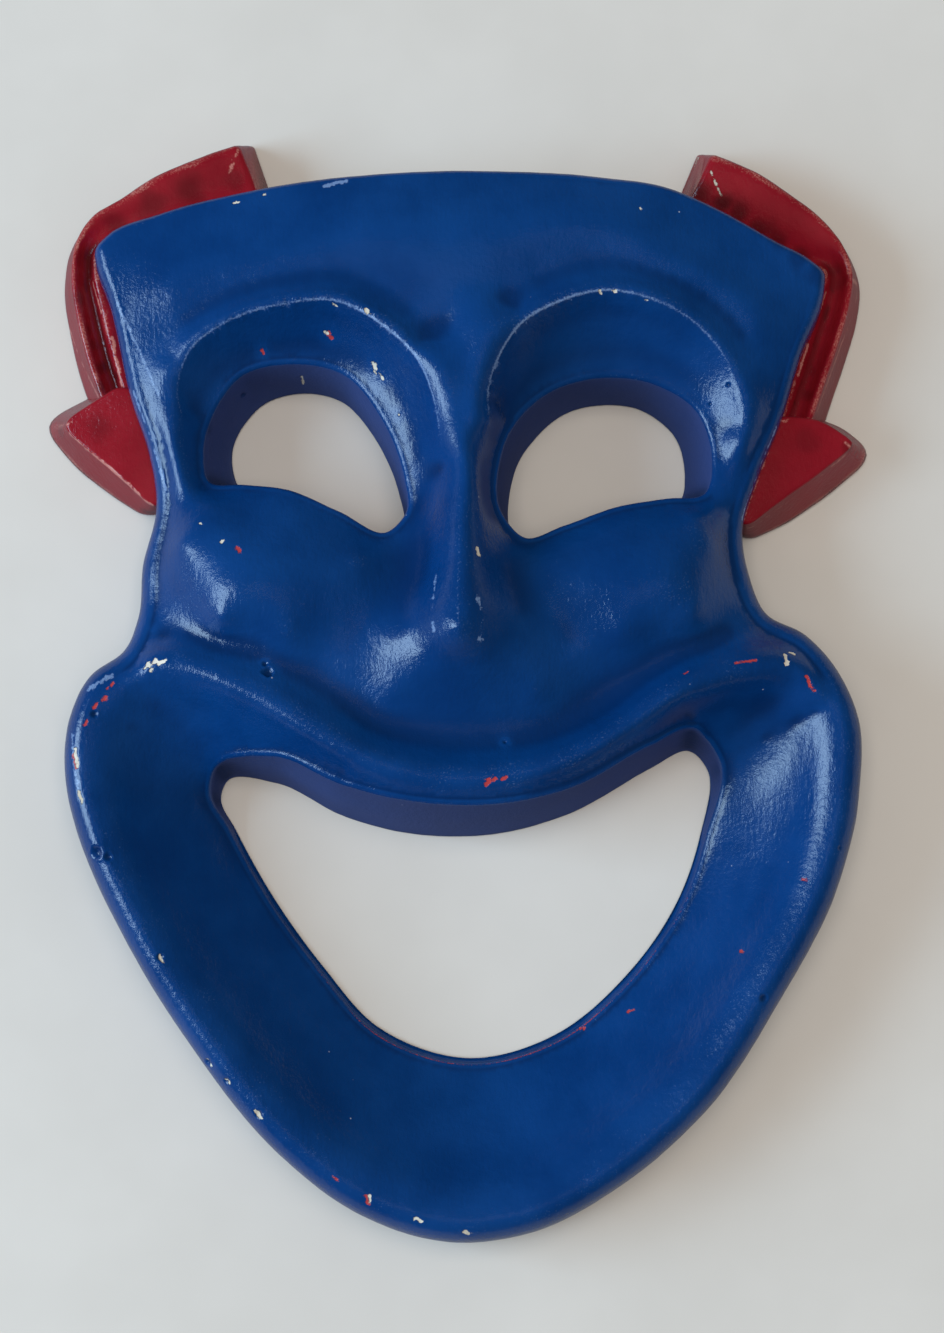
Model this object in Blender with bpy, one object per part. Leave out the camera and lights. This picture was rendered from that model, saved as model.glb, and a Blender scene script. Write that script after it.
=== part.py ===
"""A laughing comedy mask cast in one piece, with a ribbon at each side of its forehead.

It lies on its flat back: +X is the viewer's right, +Y the forehead, +Z the front. Lengths are in metres.
Plan positions of the carving are in hundredths of MASK_LENGTH, from a point between nose and mouth, and its
heights in hundredths of RELIEF_DEPTH. Widths of edges, ribbons and fits are real sizes of their own.
"""

import bmesh
import bpy
import numpy as np
from mathutils.geometry import delaunay_2d_cdt

# Driving sizes
MASK_LENGTH = 0.230
RELIEF_DEPTH = 0.043
OUTER_DRAFT = 0.0012
EDGE_STEEPNESS = 1.6
HOLE_EDGE_RADIUS = 0.0014
RIBBON_HEIGHT = 0.0132
RIBBON_DRAFT = 0.0032
RIBBON_END_LEAN = 0.0037
RIBBON_LIFT = 0.0010
RIBBON_RIM = 0.0012
RIBBON_CHANNEL_DEPTH = 0.0030
RIBBON_EMBED = 0.0030
TAIL_EDGE = 0.0009
TAIL_CORNER = 0.0014
LEAST_SLOPE_WIDTH = 0.0045
NOSE_CLEARANCE = 0.0110
CARVING_STEP = 0.0030
LEAST_LINE_GAP = 0.0009
PARTNER_REACH = 0.0022
EDGE_CLEARANCE = 0.0028
ROLL_CLEARANCE = 0.0070
FACET = 0.0031
RIBBON_STEP = 0.0040
SMOOTHING_STEPS = 24
SHEET_STIFFNESS = 2e-5
EDGE_TURNS = [0, 50, 90]
# Shares of the facet's size that crease points and grid points keep from the points before them
CREASE_CLEARANCE = 0.5
GRID_CLEARANCE = 0.62

BLUE = (0.012, 0.060, 0.235, 1.0)
PAINT_ROUGHNESS = 0.32

# The outline's edge, clockwise from the left corner of the forehead: x, y, height, radius in millimetres
OUTLINE = [
    (-34.9, 36.4, 50, 3.0), (-35.0, 37.9, 50, 2.6), (-33.9, 39.2, 50, 2.3), (-28.9, 41.2, 52, 2.1),
    (-20.7, 43.0, 57, 2.0), (-10.4, 44.2, 62, 2.0), (0.7, 44.5, 64, 2.0), (11.9, 44.0, 62, 2.0),
    (17.6, 43.3, 60, 2.0), (22.7, 41.3, 57, 2.0), (28.2, 38.4, 53, 2.0), (31.4, 36.8, 51, 2.2),
    (32.7, 35.6, 50, 2.4), (32.7, 34.1, 49, 2.6), (30.3, 27.6, 48, 2.6), (28.5, 21.8, 45, 2.6),
    (26.4, 16.6, 45, 3.0), (24.9, 11.5, 45, 3.4), (25.4, 7.6, 47, 4.0), (26.9, 3.8, 50, 4.0),
    (30.3, 1.8, 54, 4.2), (33.0, -1.5, 58, 4.5), (34.8, -5.9, 60, 4.8), (34.8, -12.7, 58, 5.0),
    (32.6, -21.4, 56, 5.0), (27.1, -31.6, 54, 5.0), (21.4, -40.0, 53, 5.0), (13.2, -47.2, 52, 5.0),
    (4.9, -51.4, 51, 5.0), (-2.2, -52.1, 51, 5.0), (-9.6, -49.9, 51, 5.0), (-16.9, -44.7, 52, 5.0),
    (-24.4, -35.9, 53, 5.0), (-31.3, -25.1, 55, 5.0), (-35.0, -17.3, 57, 5.0), (-36.6, -11.3, 58, 5.0),
    (-36.3, -6.1, 60, 4.8), (-34.5, -2.1, 59, 4.5), (-31.4, 0.5, 55, 4.2), (-30.5, 3.5, 48, 4.0),
    (-30.2, 8.5, 46, 4.0), (-29.0, 13.9, 47, 3.2), (-29.9, 19.3, 48, 3.0), (-31.3, 23.4, 49, 3.0),
    (-33.8, 33.3, 50, 3.0),
]

# Edges of the three holes, clockwise: x, y, height at the front, then x, y where the wall ends at the back
MOUTH = [
    (-23.4, -10.4, 33, -22.9, -10.9), (-18.0, -9.5, 54, -18.3, -11.0), (-11.0, -12.4, 65, -11.4, -14.3),
    (-3.7, -14.0, 71, -3.9, -15.9), (2.5, -14.0, 71, 2.5, -15.7), (8.8, -12.5, 68, 9.2, -13.8),
    (16.0, -8.6, 61, 16.7, -9.6), (20.0, -6.9, 45, 20.2, -8.0), (22.6, -9.4, 24, 22.0, -9.9),
    (21.6, -15.9, 8, 21.2, -15.9), (19.4, -22.2, 6, 19.0, -22.0), (14.4, -29.2, 6, 14.1, -28.9),
    (7.8, -34.6, 6, 7.6, -34.2), (-0.2, -36.7, 6, -0.2, -36.3), (-8.8, -33.9, 6, -8.6, -33.5),
    (-14.0, -28.2, 6, -13.7, -28.0), (-19.3, -20.9, 6, -18.9, -20.8), (-22.4, -15.3, 9, -22.0, -15.3),
    (-23.9, -12.4, 21, -23.4, -12.5),
]
EYE_LEFT = [
    (-23.9, 15.8, 48, -22.2, 17.2), (-24.6, 18.7, 43, -22.8, 19.6), (-23.7, 22.6, 42, -22.2, 22.4),
    (-21.1, 26.0, 43, -19.9, 25.2), (-16.7, 27.0, 44, -16.2, 26.3), (-11.9, 26.0, 45, -12.2, 25.3),
    (-8.5, 22.0, 48, -9.0, 21.5), (-6.3, 16.4, 51, -6.9, 16.4), (-6.0, 12.8, 53, -6.5, 13.1),
    (-7.7, 10.9, 56, -7.9, 11.5), (-12.0, 12.7, 58, -11.9, 13.4), (-16.6, 14.7, 57, -16.5, 15.4),
    (-20.8, 15.4, 53, -20.5, 16.3),
]
EYE_RIGHT = [
    (2.7, 18.0, 52, 4.0, 18.4), (4.5, 21.9, 47, 5.7, 21.5), (7.8, 24.6, 45, 8.6, 24.1),
    (11.9, 25.7, 44, 12.0, 25.1), (16.8, 25.0, 45, 16.2, 24.6), (20.5, 22.6, 45, 19.2, 22.2),
    (21.9, 18.4, 45, 20.2, 18.8), (21.2, 14.7, 48, 19.8, 15.9), (17.7, 14.1, 53, 17.5, 15.0),
    (13.0, 13.1, 58, 12.8, 13.9), (8.2, 11.4, 57, 8.3, 12.1), (4.8, 10.4, 55, 5.0, 11.1),
    (2.8, 12.6, 54, 3.6, 13.0),
]

# Lines of the carving: x, y, height
BROW_LEFT = [
    (-26.5, 21.6, 51), (-26.9, 24.2, 53), (-25.8, 27.4, 58), (-22.1, 30.0, 64), (-17.2, 31.3, 69),
    (-12.2, 31.4, 72), (-8.4, 29.4, 73), (-4.9, 26.0, 73), (-3.3, 22.0, 72), (-2.8, 18.4, 71),
]
BROW_RIGHT = [
    (1.5, 20.2, 71), (1.5, 23.5, 72), (2.5, 26.4, 73), (4.2, 29.0, 74), (7.6, 31.2, 73),
    (11.9, 32.4, 72), (16.3, 31.7, 70), (20.4, 29.6, 65), (23.4, 26.1, 59), (24.8, 21.5, 55),
]
LIP_CREST = [
    (-34.0, -4.7, 61), (-31.2, -2.1, 61), (-27.1, -1.5, 65), (-20.5, -3.8, 72), (-14.6, -7.5, 75),
    (-8.4, -10.8, 77), (-0.2, -12.4, 78), (6.9, -11.5, 78), (11.3, -9.6, 77), (15.8, -6.5, 76),
    (20.3, -4.0, 73), (24.9, -2.3, 69), (29.5, -2.2, 63), (32.4, -4.7, 61),
]
LIP_VALLEY = [
    (-30.4, 1.2, 47), (-25.9, 1.5, 58), (-22.7, 1.0, 64), (-19.7, -0.3, 66), (-13.5, -3.7, 66),
    (-8.7, -7.1, 66), (-3.7, -8.9, 69), (1.6, -9.2, 70), (7.0, -8.2, 69), (11.9, -5.7, 66),
    (16.0, -2.5, 66), (19.6, 0.0, 64), (23.4, 1.8, 57), (26.1, 3.4, 50),
]
NOSE_RIDGE = [
    (-0.2, 28.9, 76), (-0.7, 23.2, 77), (-0.9, 18.5, 79), (-1.1, 13.7, 84), (-1.1, 8.5, 90),
    (-1.2, 3.8, 97), (-1.2, 0.8, 100),
]
OTHER_LINES = {
    "forehead": [
        (-29.9, 36.5, 53.5), (-20.5, 37.7, 62), (-9.4, 38.7, 70), (0.7, 39.0, 72), (10.8, 38.1, 71),
        (20.1, 36.0, 64), (28.6, 32.9, 53),
    ],
    "brow end left": [(-27.9, 23.5, 53), (-27.3, 19.7, 53), (-26.1, 14.9, 54)],
    "brow end right": [(24.9, 20.3, 53), (24.3, 16.8, 52), (22.4, 12.2, 53)],
    "nose flank left": [(-2.8, 16.2, 67), (-3.6, 11.6, 67), (-4.3, 6.9, 70), (-6.0, 3.1, 74)],
    "nose flank right": [(0.9, 16.2, 70), (1.4, 11.6, 71), (2.9, 6.9, 71), (4.5, 3.1, 74)],
    "nose wings": [(-6.2, 0.3, 78), (-2.8, -1.2, 86), (0.5, -1.4, 86), (4.3, 0.0, 79)],
    "philtrum": [(-6.9, -4.0, 71), (-0.6, -4.9, 72), (5.6, -4.0, 71)],
    "cheek left": [(-29.5, 7.6, 50), (-26.0, 9.5, 63), (-22.1, 7.7, 74), (-20.7, 4.8, 79), (-22.1, 2.4, 74)],
    "cheek right": [(24.0, 7.1, 51), (22.1, 9.6, 60), (19.6, 7.8, 72), (17.6, 5.3, 79), (19.5, 3.0, 74)],
    "upper cheek left": [(-23.4, 13.3, 59), (-15.5, 10.7, 67), (-10.1, 7.9, 69)],
    "upper cheek right": [(19.9, 12.4, 59), (12.5, 10.2, 67), (7.5, 7.4, 69)],
    "lower cheek left": [(-16.2, 1.3, 75), (-10.2, 3.1, 71), (-10.9, -1.3, 69)],
    "lower cheek right": [(13.2, 1.3, 75), (8.2, 3.1, 71), (9.2, -0.9, 69)],
}

CREASES = [BROW_LEFT, BROW_RIGHT, LIP_CREST, NOSE_RIDGE]

# How far the surface has fallen, as shares, on its way from the first line (0) to the second (1)
SOCKET_FALL = [(0.14, 0.2), (0.38, 0.5), (0.68, 0.82)]
FUNNEL_FALL = [(0.08, 0.03), (0.18, 0.11), (0.34, 0.32), (0.6, 0.62), (0.82, 0.85)]
# The roll above a brow line and the shallow groove beyond it: distance out, fall, in metres
BROW_ROLL = [(0.0026, 0.0005), (0.0062, 0.0017), (0.0100, 0.0013)]

# The upper, outer edge of each ribbon from its end at the top: x, y, width to the face in metres
RIBBON_LEFT = [
    (-22.2, 49.3, 0.0150), (-25.6, 48.1, 0.0150), (-29.7, 46.3, 0.0140), (-33.4, 43.8, 0.0110),
    (-35.8, 42.2, 0.0085), (-37.3, 39.7, 0.0070), (-37.7, 36.7, 0.0075), (-37.1, 32.3, 0.0085),
    (-36.1, 28.4, 0.0085), (-34.0, 22.6, 0.0080),
]
RIBBON_RIGHT = [
    (22.8, 48.4, 0.0150), (24.7, 47.6, 0.0150), (27.2, 46.4, 0.0145), (29.8, 44.6, 0.0135),
    (32.7, 42.3, 0.0110), (34.8, 39.6, 0.0085), (35.8, 36.7, 0.0075), (35.4, 33.3, 0.0080),
    (34.4, 29.9, 0.0082), (33.2, 26.5, 0.0080), (31.1, 20.6, 0.0080),
]
# Shares of a ribbon's width at which its channel's floor starts and ends and its inner rim is reached
CHANNEL_SHARES = [0.42, 0.72, 0.92]
# The two cuts of a tail's corner, as shares of TAIL_CORNER, and the most that one takes off a side
CORNER_CUTS = [1.0, 0.4]
MOST_CUT = 0.3
# Corners of each ribbon's tail: x, y of its top edge, height in metres, then x, y of its foot
TAIL_LEFT = [
    (-32.6, 25.6, 0.0150, -33.5, 27.4), (-37.6, 22.6, 0.0128, -40.0, 23.9),
    (-38.0, 21.6, 0.0126, -40.5, 22.4), (-35.4, 19.2, 0.0130, -37.6, 18.9),
    (-32.0, 16.3, 0.0130, -33.8, 16.0), (-29.4, 13.9, 0.0126, -30.7, 14.1),
    (-26.8, 15.6, 0.0126, -26.8, 15.6), (-28.9, 23.9, 0.0150, -28.9, 23.9),
]
TAIL_RIGHT = [
    (29.4, 22.6, 0.0150, 30.7, 24.4), (32.4, 22.3, 0.0140, 35.0, 23.1), (35.3, 20.6, 0.0128, 37.6, 20.9),
    (35.5, 19.9, 0.0126, 37.4, 19.4), (31.9, 17.0, 0.0130, 33.6, 16.2), (28.3, 14.4, 0.0130, 29.6, 13.5),
    (25.3, 12.1, 0.0126, 25.9, 11.8), (23.4, 14.0, 0.0126, 23.4, 14.0), (26.7, 22.3, 0.0150, 26.7, 22.3),
]

PLAN = MASK_LENGTH / 100
HEIGHT = RELIEF_DEPTH / 100
MILLIMETRE = 0.001


def scaled(rows, *units):
    """The rows as an array in metres, each column times its unit."""
    return np.array(rows, float) * np.array(units)


def smooth_rows(rows, spacing, closed):
    """Points at equal spacing on a smooth curve through the rows, with every column carried along."""
    rows = np.asarray(rows, float)
    if closed:
        rows = np.vstack([rows[-2:], rows, rows[:3]])
    chord = np.maximum(np.linalg.norm(np.diff(rows[:, :2], axis=0), axis=1), 1e-9)
    slope = np.diff(rows, axis=0) / chord[:, None]
    tangent = np.empty_like(rows)
    tangent[0], tangent[-1] = slope[0], slope[-1]
    before, after = chord[:-1, None], chord[1:, None]
    tangent[1:-1] = (slope[:-1] * after + slope[1:] * before) / (before + after)
    first, last = (2, len(rows) - 3) if closed else (0, len(rows) - 1)
    t = np.linspace(0, 1, SMOOTHING_STEPS, endpoint=False)[:, None]
    fine = []
    for i in range(first, last):
        h = chord[i]
        fine.append(
            (2 * t**3 - 3 * t**2 + 1) * rows[i]
            + (t**3 - 2 * t**2 + t) * h * tangent[i]
            + (3 * t**2 - 2 * t**3) * rows[i + 1]
            + (t**3 - t**2) * h * tangent[i + 1]
        )
    fine = np.vstack(fine + [rows[last][None]])
    along = np.append(0, np.cumsum(np.linalg.norm(np.diff(fine[:, :2], axis=0), axis=1)))
    count = max(int(round(along[-1] / spacing)), 3)
    places = np.linspace(0, along[-1], count + (not closed), endpoint=not closed)
    return np.column_stack([np.interp(places, along, column) for column in fine.T])


def right_normals(points, closed):
    """Unit vectors to the right of the way the curve runs."""
    if closed:
        step = np.roll(points, -1, axis=0) - np.roll(points, 1, axis=0)
    else:
        step = np.gradient(points, axis=0)
    step = step / np.linalg.norm(step, axis=1)[:, None]
    return np.column_stack([step[:, 1], -step[:, 0]])


def inside(points, loop):
    """Which of the points lie inside a closed loop, by crossings."""
    x, y = points[:, 0, None], points[:, 1, None]
    x0, y0 = loop.T
    x1, y1 = np.roll(loop, -1, axis=0).T
    crosses = (y0 > y) != (y1 > y)
    rise = np.where(y1 == y0, 1e-12, y1 - y0)
    return (crosses & (x < (x1 - x0) * (y - y0) / rise + x0)).sum(axis=1) % 2 == 1


def between(first, second, falls):
    """Rows on the way from each point of one line to the nearest part of another, at the given falls."""
    gap = np.linalg.norm(first[:, None, :2] - second[None, :, :2], axis=2)
    wide = gap.min(axis=1) > LEAST_SLOPE_WIDTH
    first, gap = first[wide], gap[wide]
    pull = np.exp((gap.min(axis=1)[:, None] - gap) / PARTNER_REACH)
    partner = (pull / pull.sum(axis=1)[:, None]) @ second[:, :3]
    rows = []
    for share, fall in falls:
        plan = first[:, :2] + share * (partner[:, :2] - first[:, :2])
        rows.append(np.column_stack([plan, first[:, 2] + fall * (partner[:, 2] - first[:, 2])]))
    return np.vstack(rows)


def clear_of(rows, edge, least):
    """The rows that are at least this far from the edge."""
    gap = np.linalg.norm(rows[:, None, :2] - edge[None, :, :2], axis=2)
    return rows[gap.min(axis=1) > least]


def spread(rows, least):
    """The rows with any that crowds an earlier one left out."""
    kept = []
    free = np.ones(len(rows), bool)
    for i, row in enumerate(rows):
        if free[i]:
            kept.append(row)
            free &= np.abs(rows[:, :2] - row[:2]).sum(axis=1) > least
    return np.array(kept)


def sheet_through(rows):
    """A function giving the height of a bent thin sheet that passes through the rows."""
    reach = MASK_LENGTH / 4

    def bend(a, b):
        square = ((a[:, None] - b[None]) ** 2).sum(axis=2)
        return 0.5 * square * np.log(square + 1e-18)

    at = rows[:, :2] / reach
    count = len(at)
    flat = np.column_stack([np.ones(count), at])
    system = np.zeros((count + 3, count + 3))
    system[:count, :count] = bend(at, at) + SHEET_STIFFNESS * np.eye(count)
    system[:count, count:] = flat
    system[count:, :count] = flat.T
    weights = np.linalg.solve(system, np.append(rows[:, 2], np.zeros(3)))

    def height(points):
        places = points / reach
        return bend(places, at) @ weights[:count] + weights[count] + places @ weights[count + 1 :]

    return height


def outline_rings(spacing):
    """Rings of the outer edge from its foot on the back to the top of its rounding."""
    rows = smooth_rows(scaled(OUTLINE, PLAN, PLAN, HEIGHT, MILLIMETRE), spacing, True)
    inward = right_normals(rows[:, :2], True)
    radius = rows[:, 3:]
    rings = [np.column_stack([rows[:, :2] - OUTER_DRAFT * inward, np.zeros(len(rows))])]
    for turn in np.radians(EDGE_TURNS):
        plan = rows[:, :2] + radius * (1 - np.cos(turn)) * inward
        drop = EDGE_STEEPNESS * rows[:, 3] * (1 - np.sin(turn))
        rings.append(np.column_stack([plan, rows[:, 2] - drop]))
    return rings


def hole_rings(rows, spacing):
    """Rings of a hole from its foot on the back to the top of its rounded front edge."""
    rows = smooth_rows(scaled(rows, PLAN, PLAN, HEIGHT, PLAN, PLAN), spacing, True)
    outward = -right_normals(rows[:, :2], True)
    foot = np.column_stack([rows[:, 3:5], np.zeros(len(rows))])
    edge = rows[:, :3] - np.array([0, 0, HOLE_EDGE_RADIUS])
    top = np.column_stack([rows[:, :2] + HOLE_EDGE_RADIUS * outward, rows[:, 2]])
    return [foot, edge, top]


def carved(rows):
    """A line of the carving, in metres."""
    return smooth_rows(scaled(rows, PLAN, PLAN, HEIGHT), CARVING_STEP, False)


def carving_lines(outline_top, hole_tops):
    """The rows that the carved front passes through."""
    mouth, eye_left, eye_right = hole_tops
    lip = carved(LIP_CREST)
    nose = carved(NOSE_RIDGE)
    jaw = outline_top[(outline_top[:, 1] < lip[0, 1])]
    rows = [mouth, eye_left, eye_right, lip, nose]
    for brow, eye in ((BROW_LEFT, eye_left), (BROW_RIGHT, eye_right)):
        line = carved(brow)
        outward = -right_normals(line[:, :2], False)
        rows += [line, between(line, eye, SOCKET_FALL)]
        clear = np.abs(line[:, 0] - nose[0, 0]) > NOSE_CLEARANCE
        for away, fall in BROW_ROLL:
            rolled = np.column_stack([line[:, :2] + away * outward, line[:, 2] - fall])
            rows.append(clear_of(rolled[clear], outline_top, ROLL_CLEARANCE))
    rows.append(between(np.vstack([jaw, lip]), mouth, FUNNEL_FALL))
    rows += [carved(line) for line in (LIP_VALLEY, *OTHER_LINES.values())]
    rows = [outline_top] + [clear_of(line, outline_top, EDGE_CLEARANCE) for line in rows]
    return spread(np.vstack(rows), LEAST_LINE_GAP)


def face_mesh(spacing):
    """Vertices and faces of the face: rounded outer edge, three holes, carved front and flat back."""
    outer = outline_rings(spacing)
    holes = [hole_rings(rows, spacing) for rows in (MOUTH, EYE_LEFT, EYE_RIGHT)]
    height = sheet_through(carving_lines(outer[-1], [rings[-1] for rings in holes]))

    vertices, faces, starts = [], [], {}
    count = 0
    for name, rings in enumerate([outer] + holes):
        for level, ring in enumerate(rings):
            starts[name, level] = count
            vertices.append(ring)
            count += len(ring)
            if level:
                below, above = starts[name, level - 1], starts[name, level]
                size = len(ring)
                for i in range(size):
                    j = (i + 1) % size
                    side = (below + j, below + i, above + i, above + j)
                    faces.append(side if name == 0 else side[::-1])

    loops = [outer[-1]] + [rings[-1] for rings in holes]
    edges_at = np.vstack(loops)[:, :2]
    low, high = edges_at.min(axis=0), edges_at.max(axis=0)
    row_gap = spacing * np.sqrt(3) / 2
    grid = np.array([
        (x + (k % 2) * spacing / 2, y)
        for k, y in enumerate(np.arange(low[1], high[1], row_gap))
        for x in np.arange(low[0], high[0], spacing)
    ])
    keep = inside(grid, loops[0][:, :2])
    for loop in loops[1:]:
        keep &= ~inside(grid, loop[:, :2])
    grid = grid[keep]
    creases, joined, start = [], [], len(edges_at)
    for line in CREASES:
        line = smooth_rows(scaled(line, PLAN, PLAN, HEIGHT), spacing, False)[:, :2]
        gap = np.linalg.norm(line[:, None] - edges_at[None], axis=2).min(axis=1)
        line = line[(gap > CREASE_CLEARANCE * spacing) & inside(line, loops[0][:, :2])]
        joined += [(start + i, start + i + 1) for i in range(len(line) - 1)]
        start += len(line)
        creases.append(line)
    crease_points = np.vstack(creases)
    taken = np.vstack([edges_at, crease_points])
    near = np.min(np.linalg.norm(grid[:, None] - taken[None], axis=2), axis=1)
    grid = np.vstack([crease_points, grid[near > GRID_CLEARANCE * spacing]])

    known = [starts[name, len(rings) - 1] for name, rings in enumerate([outer] + holes)]
    index = [start + i for start, loop in zip(known, loops) for i in range(len(loop))]
    index += [count + i for i in range(len(grid))]
    vertices.append(np.column_stack([grid, height(grid)]))
    faces += filled(loops, grid, joined, index, up=True)

    feet = [outer[0]] + [rings[0] for rings in holes]
    known = [starts[name, 0] for name in range(4)]
    index = [start + i for start, loop in zip(known, feet) for i in range(len(loop))]
    faces += filled(feet, np.empty((0, 2)), [], index, up=False)
    return np.vstack(vertices), faces


def filled(loops, points, joined, index, up):
    """Triangles over the area inside the first loop and outside the others, through points some joined."""
    flat = np.vstack([loop[:, :2] for loop in loops] + [points])
    edges, start = list(joined), 0
    for loop in loops:
        edges += [(start + i, start + (i + 1) % len(loop)) for i in range(len(loop))]
        start += len(loop)
    result = delaunay_2d_cdt([tuple(p) for p in flat * 1000], edges, [], 0, 1e-7, True)
    triangles = np.array([[result[3][v][0] for v in triangle] for triangle in result[2]])
    middle = flat[triangles].mean(axis=1)
    keep = inside(middle, loops[0][:, :2])
    for loop in loops[1:]:
        keep &= ~inside(middle, loop[:, :2])
    triangles = triangles[keep]
    a, b, c = flat[triangles[:, 0]], flat[triangles[:, 1]], flat[triangles[:, 2]]
    turn = (b[:, 0] - a[:, 0]) * (c[:, 1] - a[:, 1]) - (b[:, 1] - a[:, 1]) * (c[:, 0] - a[:, 0])
    flip = (turn > 0) != up
    triangles[flip] = triangles[flip][:, ::-1]
    return [tuple(index[v] for v in triangle) for triangle in triangles]


def loft(rings):
    """Vertices and faces of a closed solid through equal rings, with a flat face at each end."""
    size = len(rings[0])
    faces = []
    for level in range(len(rings) - 1):
        below, above = level * size, (level + 1) * size
        faces += [(below + (i + 1) % size, below + i, above + i, above + (i + 1) % size) for i in range(size)]
    faces.append(tuple(range(size)))
    faces.append(tuple(reversed(range((len(rings) - 1) * size, len(rings) * size))))
    return np.vstack(rings), faces


def ribbon_band(rows, side):
    """A ribbon: raised rim, sunk channel and inner rim, swept along its outer edge into the face."""
    path = smooth_rows(scaled(rows, PLAN, PLAN, 1), RIBBON_STEP, False)
    inward = side * right_normals(path[:, :2], False)
    ahead = np.gradient(path[:, :2], axis=0)
    ahead /= np.linalg.norm(ahead, axis=1)[:, None]
    top, floor = RIBBON_HEIGHT, RIBBON_HEIGHT - RIBBON_CHANNEL_DEPTH
    rings = []
    for place, (at, width) in enumerate(zip(path[:, :2], path[:, 2])):
        across = [-RIBBON_DRAFT, 0, RIBBON_RIM / 2, 2 * RIBBON_RIM]
        across += [share * width for share in CHANNEL_SHARES]
        across += [width + RIBBON_EMBED] * 2
        heights = [RIBBON_LIFT, top - RIBBON_RIM / 2, top, top, floor, floor, top - RIBBON_RIM / 2]
        heights += [top - RIBBON_RIM / 2, RIBBON_LIFT]
        ring = []
        for offset, z in zip(across, heights):
            lean = RIBBON_END_LEAN * (1 - z / top) if place == 0 else 0
            ring.append((*(at + offset * inward[place] - lean * ahead[place]), z))
        rings.append(np.array(ring))
    vertices, faces = loft(rings)
    return vertices, faces


def rounded(rows, cut):
    """The closed polygon with each corner cut twice, so that it turns in short steps."""
    for share in CORNER_CUTS:
        ahead, behind = np.roll(rows, -1, axis=0), np.roll(rows, 1, axis=0)
        new = []
        for row, after, before in zip(rows, ahead, behind):
            for other in (before, after):
                length = np.linalg.norm(other[:2] - row[:2])
                new.append(row + (other - row) * min(share * cut / length, MOST_CUT))
        rows = np.array(new)
    return rows


def ribbon_tail(rows):
    """A ribbon's short tail: a leaning-sided slab with a softened top edge."""
    rows = rounded(scaled(rows, PLAN, PLAN, 1, PLAN, PLAN), TAIL_CORNER)
    middle = rows[:, :2].mean(axis=0)
    inward = middle - rows[:, :2]
    inward /= np.linalg.norm(inward, axis=1)[:, None]
    foot = np.column_stack([rows[:, 3:5], np.full(len(rows), RIBBON_LIFT)])
    edge = rows[:, :3] - np.array([0, 0, TAIL_EDGE])
    top = np.column_stack([rows[:, :2] + TAIL_EDGE * inward, rows[:, 2]])
    return loft([foot, edge, top])


def new_object(name, vertices, faces, collection, material):
    """A mesh object whose faces point outwards."""
    mesh = bpy.data.meshes.new(name)
    mesh.from_pydata([tuple(v) for v in vertices], [], faces)
    shape = bmesh.new()
    shape.from_mesh(mesh)
    bmesh.ops.triangulate(shape, faces=[f for f in shape.faces if len(f.verts) > 4])
    bmesh.ops.recalc_face_normals(shape, faces=shape.faces)
    shape.to_mesh(mesh)
    shape.free()
    mesh.materials.append(material)
    thing = bpy.data.objects.new(name, mesh)
    collection.objects.link(thing)
    return thing


def new_collection(name):
    collection = bpy.data.collections.new(name)
    bpy.context.scene.collection.children.link(collection)
    return collection


def painted_blue():
    material = bpy.data.materials.new("blue gloss paint")
    material.use_nodes = True
    shader = material.node_tree.nodes["Principled BSDF"]
    shader.inputs["Base Color"].default_value = BLUE
    shader.inputs["Roughness"].default_value = PAINT_ROUGHNESS
    shader.inputs["Metallic"].default_value = 0.0
    return material


def main():
    for thing in list(bpy.data.objects):
        bpy.data.objects.remove(thing, do_unlink=True)
    mask_parts = new_collection("theater_mask")
    helpers = new_collection("ribbon_solids")
    paint = painted_blue()

    shapes = {
        "mask": face_mesh(FACET),
        "ribbon_left": ribbon_band(RIBBON_LEFT, -1),
        "ribbon_right": ribbon_band(RIBBON_RIGHT, 1),
        "tail_left": ribbon_tail(TAIL_LEFT),
        "tail_right": ribbon_tail(TAIL_RIGHT),
    }
    everything = np.vstack([vertices for vertices, _ in shapes.values()])
    middle = (everything.min(axis=0) + everything.max(axis=0)) / 2
    middle[2] = 0
    mask = None
    for name, (vertices, faces) in shapes.items():
        home = mask_parts if name == "mask" else helpers
        thing = new_object(name, vertices - middle, faces, home, paint)
        if name == "mask":
            mask = thing
            continue
        thing.hide_render = True
        thing.display_type = "WIRE"
        union = mask.modifiers.new("with " + name, "BOOLEAN")
        union.operation = "UNION"
        union.solver = "MANIFOLD"
        union.object = thing
    helpers.hide_render = True
    mask.data.shade_smooth()


main()
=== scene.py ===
"""A laughing comedy mask in blue gloss enamel, with a red ribbon at each side of its forehead, lying face up.

+X is the viewer's right, +Y the forehead, +Z the front.
Lengths are in metres unless a name or comment says otherwise.
Plan positions of the carving are in hundredths of MASK_LENGTH and its heights in hundredths of RELIEF_DEPTH.
Marks are placed by the pixel of the 944 x 1333 view at which they show, and lie on the surface seen there.
"""

import bmesh
import bpy
import numpy as np
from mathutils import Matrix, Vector, noise
from mathutils.bvhtree import BVHTree
from mathutils.geometry import delaunay_2d_cdt
from mathutils.kdtree import KDTree


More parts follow.
